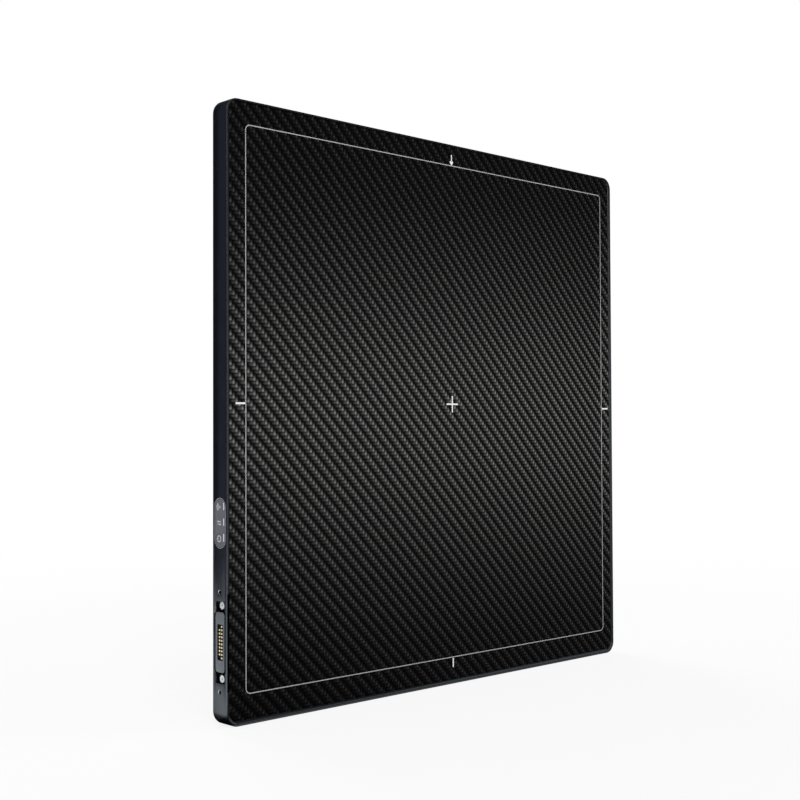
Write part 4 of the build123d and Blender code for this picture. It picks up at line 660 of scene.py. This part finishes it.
spring = Finish("spring_steel")
spring_brush = spring.noise(0.3, 2.0, (1.0, 1.0, 0.1))
spring_grey = spring.blend(spring_brush, grey(168, 168, 170), grey(196, 196, 198))
steel = spring.surface(spring_grey, 0.28, spring_brush, relief=0.01, edge=0.1, Metallic=1.0)
key_dome = smooth_copy("key_dome", "detector", steel)
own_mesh(key_dome)

# Rear cover: a pressed plate in the frame's dark paint with a coarser grain. Twelve blackened screws
# hold it, three along each side, with flush heads and six-sided sockets.
cover = Finish("grained_cover_paint")
leather = cover.noise(0.7, 4.0)
smudge = cover.soft_step(cover.noise(40.0, 3.0), 0.4, 0.8)
cover_shade = cover.blend(smudge, grey(38, 40, 45), grey(45, 47, 52))
cover_paint = cover.surface(cover_shade, 0.46 + 0.08 * smudge, leather, relief=0.03, edge=0.2, Metallic=0.2)
smooth_copy("rear_cover", "detector", cover_paint)

screw_black = Finish("blackened_steel")
screw_grain = screw_black.noise(0.3, 3.0)
screw_shade = screw_black.blend(screw_grain, grey(46, 46, 48), grey(62, 62, 64))
screw_finish = screw_black.surface(screw_shade, 0.35, screw_grain, relief=0.01, Metallic=1.0)


def screw_heads(places, turns=24):
    """Heads of socket screws: a profile of (radius, Y) turned about Y at each place. The socket's rings
    are hexagons, whose radius is the half width over the cosine of the angle from a flat's middle."""
    angle = np.linspace(0.0, 2 * math.pi, turns, endpoint=False)
    hexagon = 1.0 / np.cos((angle + math.pi / 6) % (math.pi / 3) - math.pi / 6)
    round_part = np.array([[0.0, 8.28], [2.15, 8.28], [2.15, 9.0], [2.04, 9.15], [1.9, 9.2]])
    socket = np.array([[1.1, 9.2], [1.05, 9.15], [1.05, 8.6], [0.0, 8.42]])
    radius = np.vstack([np.repeat(round_part[:, :1], turns, axis=1), socket[:, :1] * hexagon])
    height = np.repeat(np.concatenate([round_part[:, 1], socket[:, 1]])[:, None], turns, axis=1)
    head = np.stack([radius * np.cos(angle), height, radius * np.sin(angle)], axis=-1)
    shift = np.column_stack([places[:, 0], np.zeros(len(places)), places[:, 1] + middle_z])
    points = (shift[:, None, None, :] + head[None]).reshape(-1, 3) / 1000.0
    rings = len(round_part) + len(socket)
    here = np.arange(rings * turns).reshape(rings, turns)
    after = np.roll(here, -1, axis=1)
    quads = np.stack([here[:-1], here[1:], after[1:], after[:-1]], axis=-1).reshape(-1, 4)
    faces = (np.arange(len(places))[:, None, None] * rings * turns + quads[None]).reshape(-1, 4)
    return points, faces.tolist()


screw_line, screw_corner = 221.6, 206.6
top_and_bottom = [[x, z] for x in (-screw_corner, 0.0, screw_corner) for z in (-screw_line, screw_line)]
both_sides = [[z, x] for x, z in top_and_bottom]
heads = new_piece("cover_screw_heads", *screw_heads(np.array(top_and_bottom + both_sides)), screw_finish)
weld(heads.data)
heads.data.shade_smooth()
heads.data.set_sharp_from_angle(angle=math.radians(35.0))
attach(heads, "detector")
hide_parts("cover_screws")

# Grip cups, battery bay and radio windows: mouldings of dark grained plastic, set into openings of the
# cover and the frame. The cups and the bay are tubs, and the windows let radio waves out of the metal.
moulding = Finish("grained_dark_plastic")
moulded = moulding.noise(0.35, 4.0)
moulding_grey = moulding.blend(moulded, grey(34, 35, 38), grey(46, 47, 50))
plastic = moulding.surface(moulding_grey, 0.6, moulded, relief=0.025, edge=0.2)
smooth_copy("grip_cup_top", "detector", plastic)
smooth_copy("grip_cup_left", "detector", plastic)
coat(plastic, "battery_bay", "radio_windows")

# Battery: a grained dark plastic case with a lid, which drops into the bay. In it are three foil cells
# and a small board, whose gold pads at the end meet the bay's blades.
shell = Finish("battery_plastic")
shell_grain = shell.noise(0.45, 4.0)
shell_grey = shell.blend(shell_grain, grey(44, 46, 50), grey(56, 58, 62))
battery_black = shell.surface(shell_grey, 0.55, shell_grain, relief=0.03, edge=0.25)
smooth_copy("battery_case", "battery", battery_black)
smooth_copy("battery_lid", "battery", battery_black)

foil = Finish("pouch_foil")
crease = foil.noise(3.0, 5.0)
foil_grey = foil.blend(crease, grey(176, 178, 182), grey(206, 208, 212))
coat(foil.surface(foil_grey, 0.3, crease, relief=0.08, Metallic=0.9), "battery_cells")

# Latches: ribbed plastic thumb slides in a lighter grey so that they are found by eye. The foot of each
# hooks behind a leaf of spring steel, which stands in two posts of the bay.
slide = Finish("latch_plastic")
slide_grain = slide.noise(0.3, 4.0)
slide_shade = slide.blend(slide_grain, grey(92, 95, 100), grey(108, 111, 116))
slide_grey = slide.surface(slide_shade, 0.5, slide_grain, relief=0.02, edge=0.15)
coat(slide_grey, "latch_left_cap", "latch_left_foot", "latch_right_cap", "latch_right_foot")

post_reach, nose_reach, bend_cuts = 0.018, 0.003, 13


def leaf_half(node, way):
    """Half of a latch's leaf, cut at the middle of its nose and closed there, with cuts across it at even
    heights from the post to the nose."""
    low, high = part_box(node)
    middle = (low[2] + high[2]) / 2
    post, nose = middle + way * post_reach, middle + way * nose_reach
    work = bmesh.new()
    work.from_mesh(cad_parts[node].data)
    bmesh.ops.remove_doubles(work, verts=work.verts, dist=1e-6)
    parts = work.verts[:] + work.edges[:] + work.faces[:]
    bmesh.ops.bisect_plane(work, geom=parts, plane_co=(0, 0, middle), plane_no=(0, 0, way), clear_inner=True)
    bmesh.ops.holes_fill(work, edges=[edge for edge in work.edges if edge.is_boundary])
    for height in np.linspace(post, nose, bend_cuts):
        parts = work.verts[:] + work.edges[:] + work.faces[:]
        bmesh.ops.bisect_plane(work, geom=parts, plane_co=(0, 0, height), plane_no=(0, 0, 1))
    bmesh.ops.recalc_face_normals(work, faces=work.faces)
    name = node + ("_upper_half" if way > 0 else "_lower_half")
    mesh = bpy.data.meshes.new(name)
    work.to_mesh(mesh)
    work.free()
    mesh.materials.append(steel)
    half = bpy.data.objects.new(name, mesh)
    bpy.context.collection.objects.link(half)
    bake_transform(half)
    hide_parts(node)


for latch in ("latch_left", "latch_right"):
    leaf_half(latch + "_leaf", 1)
    leaf_half(latch + "_leaf", -1)

# Studio: a pale floor under a white surround, cards that only reflections see, three soft lamps and a
# camera at the photograph's angle. The floor and the surround are white where they are seen, also in
# reflections, and dimmer where they only light the object.


def seen_rays(nodes):
    """1 for rays that come from the camera, a reflection or glass, and 0 for rays that only light things."""
    camera_ray = nodes.node("ShaderNodeLightPath", {}, out="Is Camera Ray")
    glossy_ray = nodes.node("ShaderNodeLightPath", {}, out="Is Glossy Ray")
    return camera_ray + glossy_ray + nodes.node("ShaderNodeLightPath", {}, out="Is Transmission Ray")


def grid_piece(name, points, material):
    """Stage piece of quads between the points of a grid (rows, columns, 3)."""
    here = np.arange(points.shape[0] * points.shape[1]).reshape(points.shape[:2])
    quads = np.stack([here[:-1, :-1], here[:-1, 1:], here[1:, 1:], here[1:, :-1]], axis=-1).reshape(-1, 4)
    piece = new_piece(name, points.reshape(-1, 3), quads.tolist(), material)
    return piece


def rectangle(half_x, half_y, height):
    """Corners of a level rectangle about the origin, as a grid of two by two points."""
    x, y = np.meshgrid([-half_x, half_x], [-half_y, half_y])
    return np.stack([x, y, np.full((2, 2), height)], axis=-1)


white = (1.0, 1.0, 1.0, 1.0)
near_floor, shade_start, shade_end = 0.85, 500.0, 1300.0
ground = Finish("pale_floor")
far = ground.soft_step((ground.x ** 2.0 + ground.y ** 2.0) ** 0.5, shade_start, shade_end)
floor_seen = seen_rays(ground) * (near_floor + (1.0 - near_floor) * far)
floor_matt = ground.node("ShaderNodeBsdfDiffuse", {}, (0.86, 0.86, 0.86, 1.0))
floor_white = ground.node("ShaderNodeEmission", {}, white, 1.0)
floor_paint = ground.close(ground.node("ShaderNodeMixShader", {}, floor_seen, floor_matt, floor_white))
grid_piece("floor", rectangle(9.0, 9.0, 0.0), floor_paint)


def glow_in_reflections(name, points, finish, colour):
    """Stage piece that glows in reflections and is unseen by everything else."""
    glow = finish.close(finish.node("ShaderNodeEmission", {}, colour, 1.0))
    piece = grid_piece(name, points, glow)
    piece.visible_camera = False
    piece.visible_diffuse = False
    piece.visible_shadow = False
    piece.visible_transmission = False


def card(name, rings, angles, centre_x, finish, colour, steps=25):
    """Glowing card: rings (radius, height) in metres, turned about an upright line at centre_x."""
    turn_by = np.radians(np.linspace(angles[0], angles[1], steps))
    rings = np.asarray(rings, dtype=float)
    x = centre_x + rings[:, :1] * np.cos(turn_by)
    y = rings[:, :1] * np.sin(turn_by)
    z = np.broadcast_to(rings[:, 1:], x.shape)
    glow_in_reflections(name, np.stack([x, y, z], axis=-1), finish, colour)


side_x, side_radius, side_height, on_floor = -0.23, 0.62, 1.6, 0.002
side_rings = [(side_radius, 0.0), (side_radius, side_height)]
side_glow = grey(82, 84, 100)
card("card_side", side_rings, (95, 262), side_x, Finish("card_side"), side_glow)
low_rings = [(0.47, on_floor), (side_radius, on_floor)]
card("card_side_low", low_rings, (95, 200), side_x, Finish("card_side_low"), side_glow)
card("card_behind", side_rings, (35, 95), side_x, Finish("card_behind"), grey(36, 36, 44))

high_card = Finish("card_front_high")
rising = high_card.node("ShaderNodeMapRange", {}, high_card.z, 360.0, 720.0) ** 0.5
high_glow = high_card.blend(rising, grey(250, 250, 250), grey(12, 12, 13))
high_rings = [(1.5, 0.36), (1.5, 0.8), (1.2, 2.2)]
card("card_front_high", high_rings, (-110, 30), 0.0, high_card, high_glow)

low_x, low_radius = -0.25, 7.0
low_card = Finish("card_front_low")
from_low_x = low_card.x - low_x * 1000.0
outward = ((from_low_x ** 2.0 + low_card.y ** 2.0) ** 0.5 / (low_radius * 1000.0)) ** 0.95
low_glow = low_card.blend(outward, grey(0, 0, 0), grey(255, 255, 255))
card("card_front_low", [(0.0, on_floor), (low_radius, on_floor)], (-88, 15), low_x, low_card, low_glow)
card("card_over", [(1.4, 2.2), (0.0, 2.2)], (0, 360), 0.0, Finish("card_over"), grey(150, 152, 158))
# Painted shadow: a grey card under the panel stands, in reflections only, for the floor's shadow under it.
glow_in_reflections("floor_shadow_card", rectangle(0.24, 0.03, 0.0015), Finish("floor_shadow_card"), grey(90, 90, 92))

world = bpy.data.worlds.new("studio")
bpy.context.scene.world = world
sky = Nodes(world)
sky_light = sky.node("ShaderNodeBackground", {}, (0.97, 0.98, 1.0, 1.0), 0.45)
sky_white = sky.node("ShaderNodeBackground", {}, white, 1.0)
sky_shader = sky.node("ShaderNodeMixShader", {}, seen_rays(sky), sky_light, sky_white)
sky.node("ShaderNodeOutputWorld", {}, sky_shader)


lamp_size, lamp_aim = 1.6, (0.0, 0.0, 0.2)


def lamp(name, place, power):
    """Square soft lamp that looks from its place at the aim."""
    light = bpy.data.lights.new(name, "AREA")
    light.shape = "SQUARE"
    light.size = lamp_size
    light.energy = power
    made = bpy.data.objects.new(name, light)
    bpy.context.collection.objects.link(made)
    made.location = place
    way = np.subtract(place, lamp_aim)
    flat = math.hypot(way[0], way[1])
    made.rotation_euler = (math.atan2(flat, way[2]), 0.0, math.atan2(way[1], way[0]) + math.pi / 2)


lamp("key_lamp", (-1.6, -2.2, 2.4), 55.0)
lamp("fill_lamp", (2.4, -1.4, 1.8), 25.0)
lamp("back_lamp", (0.6, 2.4, 2.2), 35.0)

camera_data = bpy.data.cameras.new("camera")
camera_data.sensor_width = 36.0
camera_data.lens = 57.663
camera_data.clip_end = 50.0
camera = bpy.data.objects.new("camera", camera_data)
bpy.context.collection.objects.link(camera)


def turned(axis, degrees):
    """Rotation matrix about one of the axes 0, 1 and 2."""
    c, s = math.cos(math.radians(degrees)), math.sin(math.radians(degrees))
    first, second = [(1, 2), (2, 0), (0, 1)][axis]
    matrix = np.eye(3)
    matrix[first, first] = matrix[second, second] = c
    matrix[first, second], matrix[second, first] = -s, s
    return matrix


camera_roll, camera_tilt, camera_swing = -0.21910, -1.39547, -43.73219
camera_place = (-0.781786, -0.768129, 0.214427)
level = np.array([[1.0, 0.0, 0.0], [0.0, 0.0, -1.0], [0.0, 1.0, 0.0]])
seen_from = turned(2, camera_roll) @ turned(0, camera_tilt) @ turned(1, camera_swing) @ level
pose = np.eye(4)
pose[:3, :3] = seen_from.T @ np.diag([1.0, -1.0, -1.0])
pose[:3, 3] = camera_place
camera.matrix_world = pose.T.tolist()
bpy.context.scene.camera = camera
bpy.context.scene.view_settings.view_transform = "Standard"
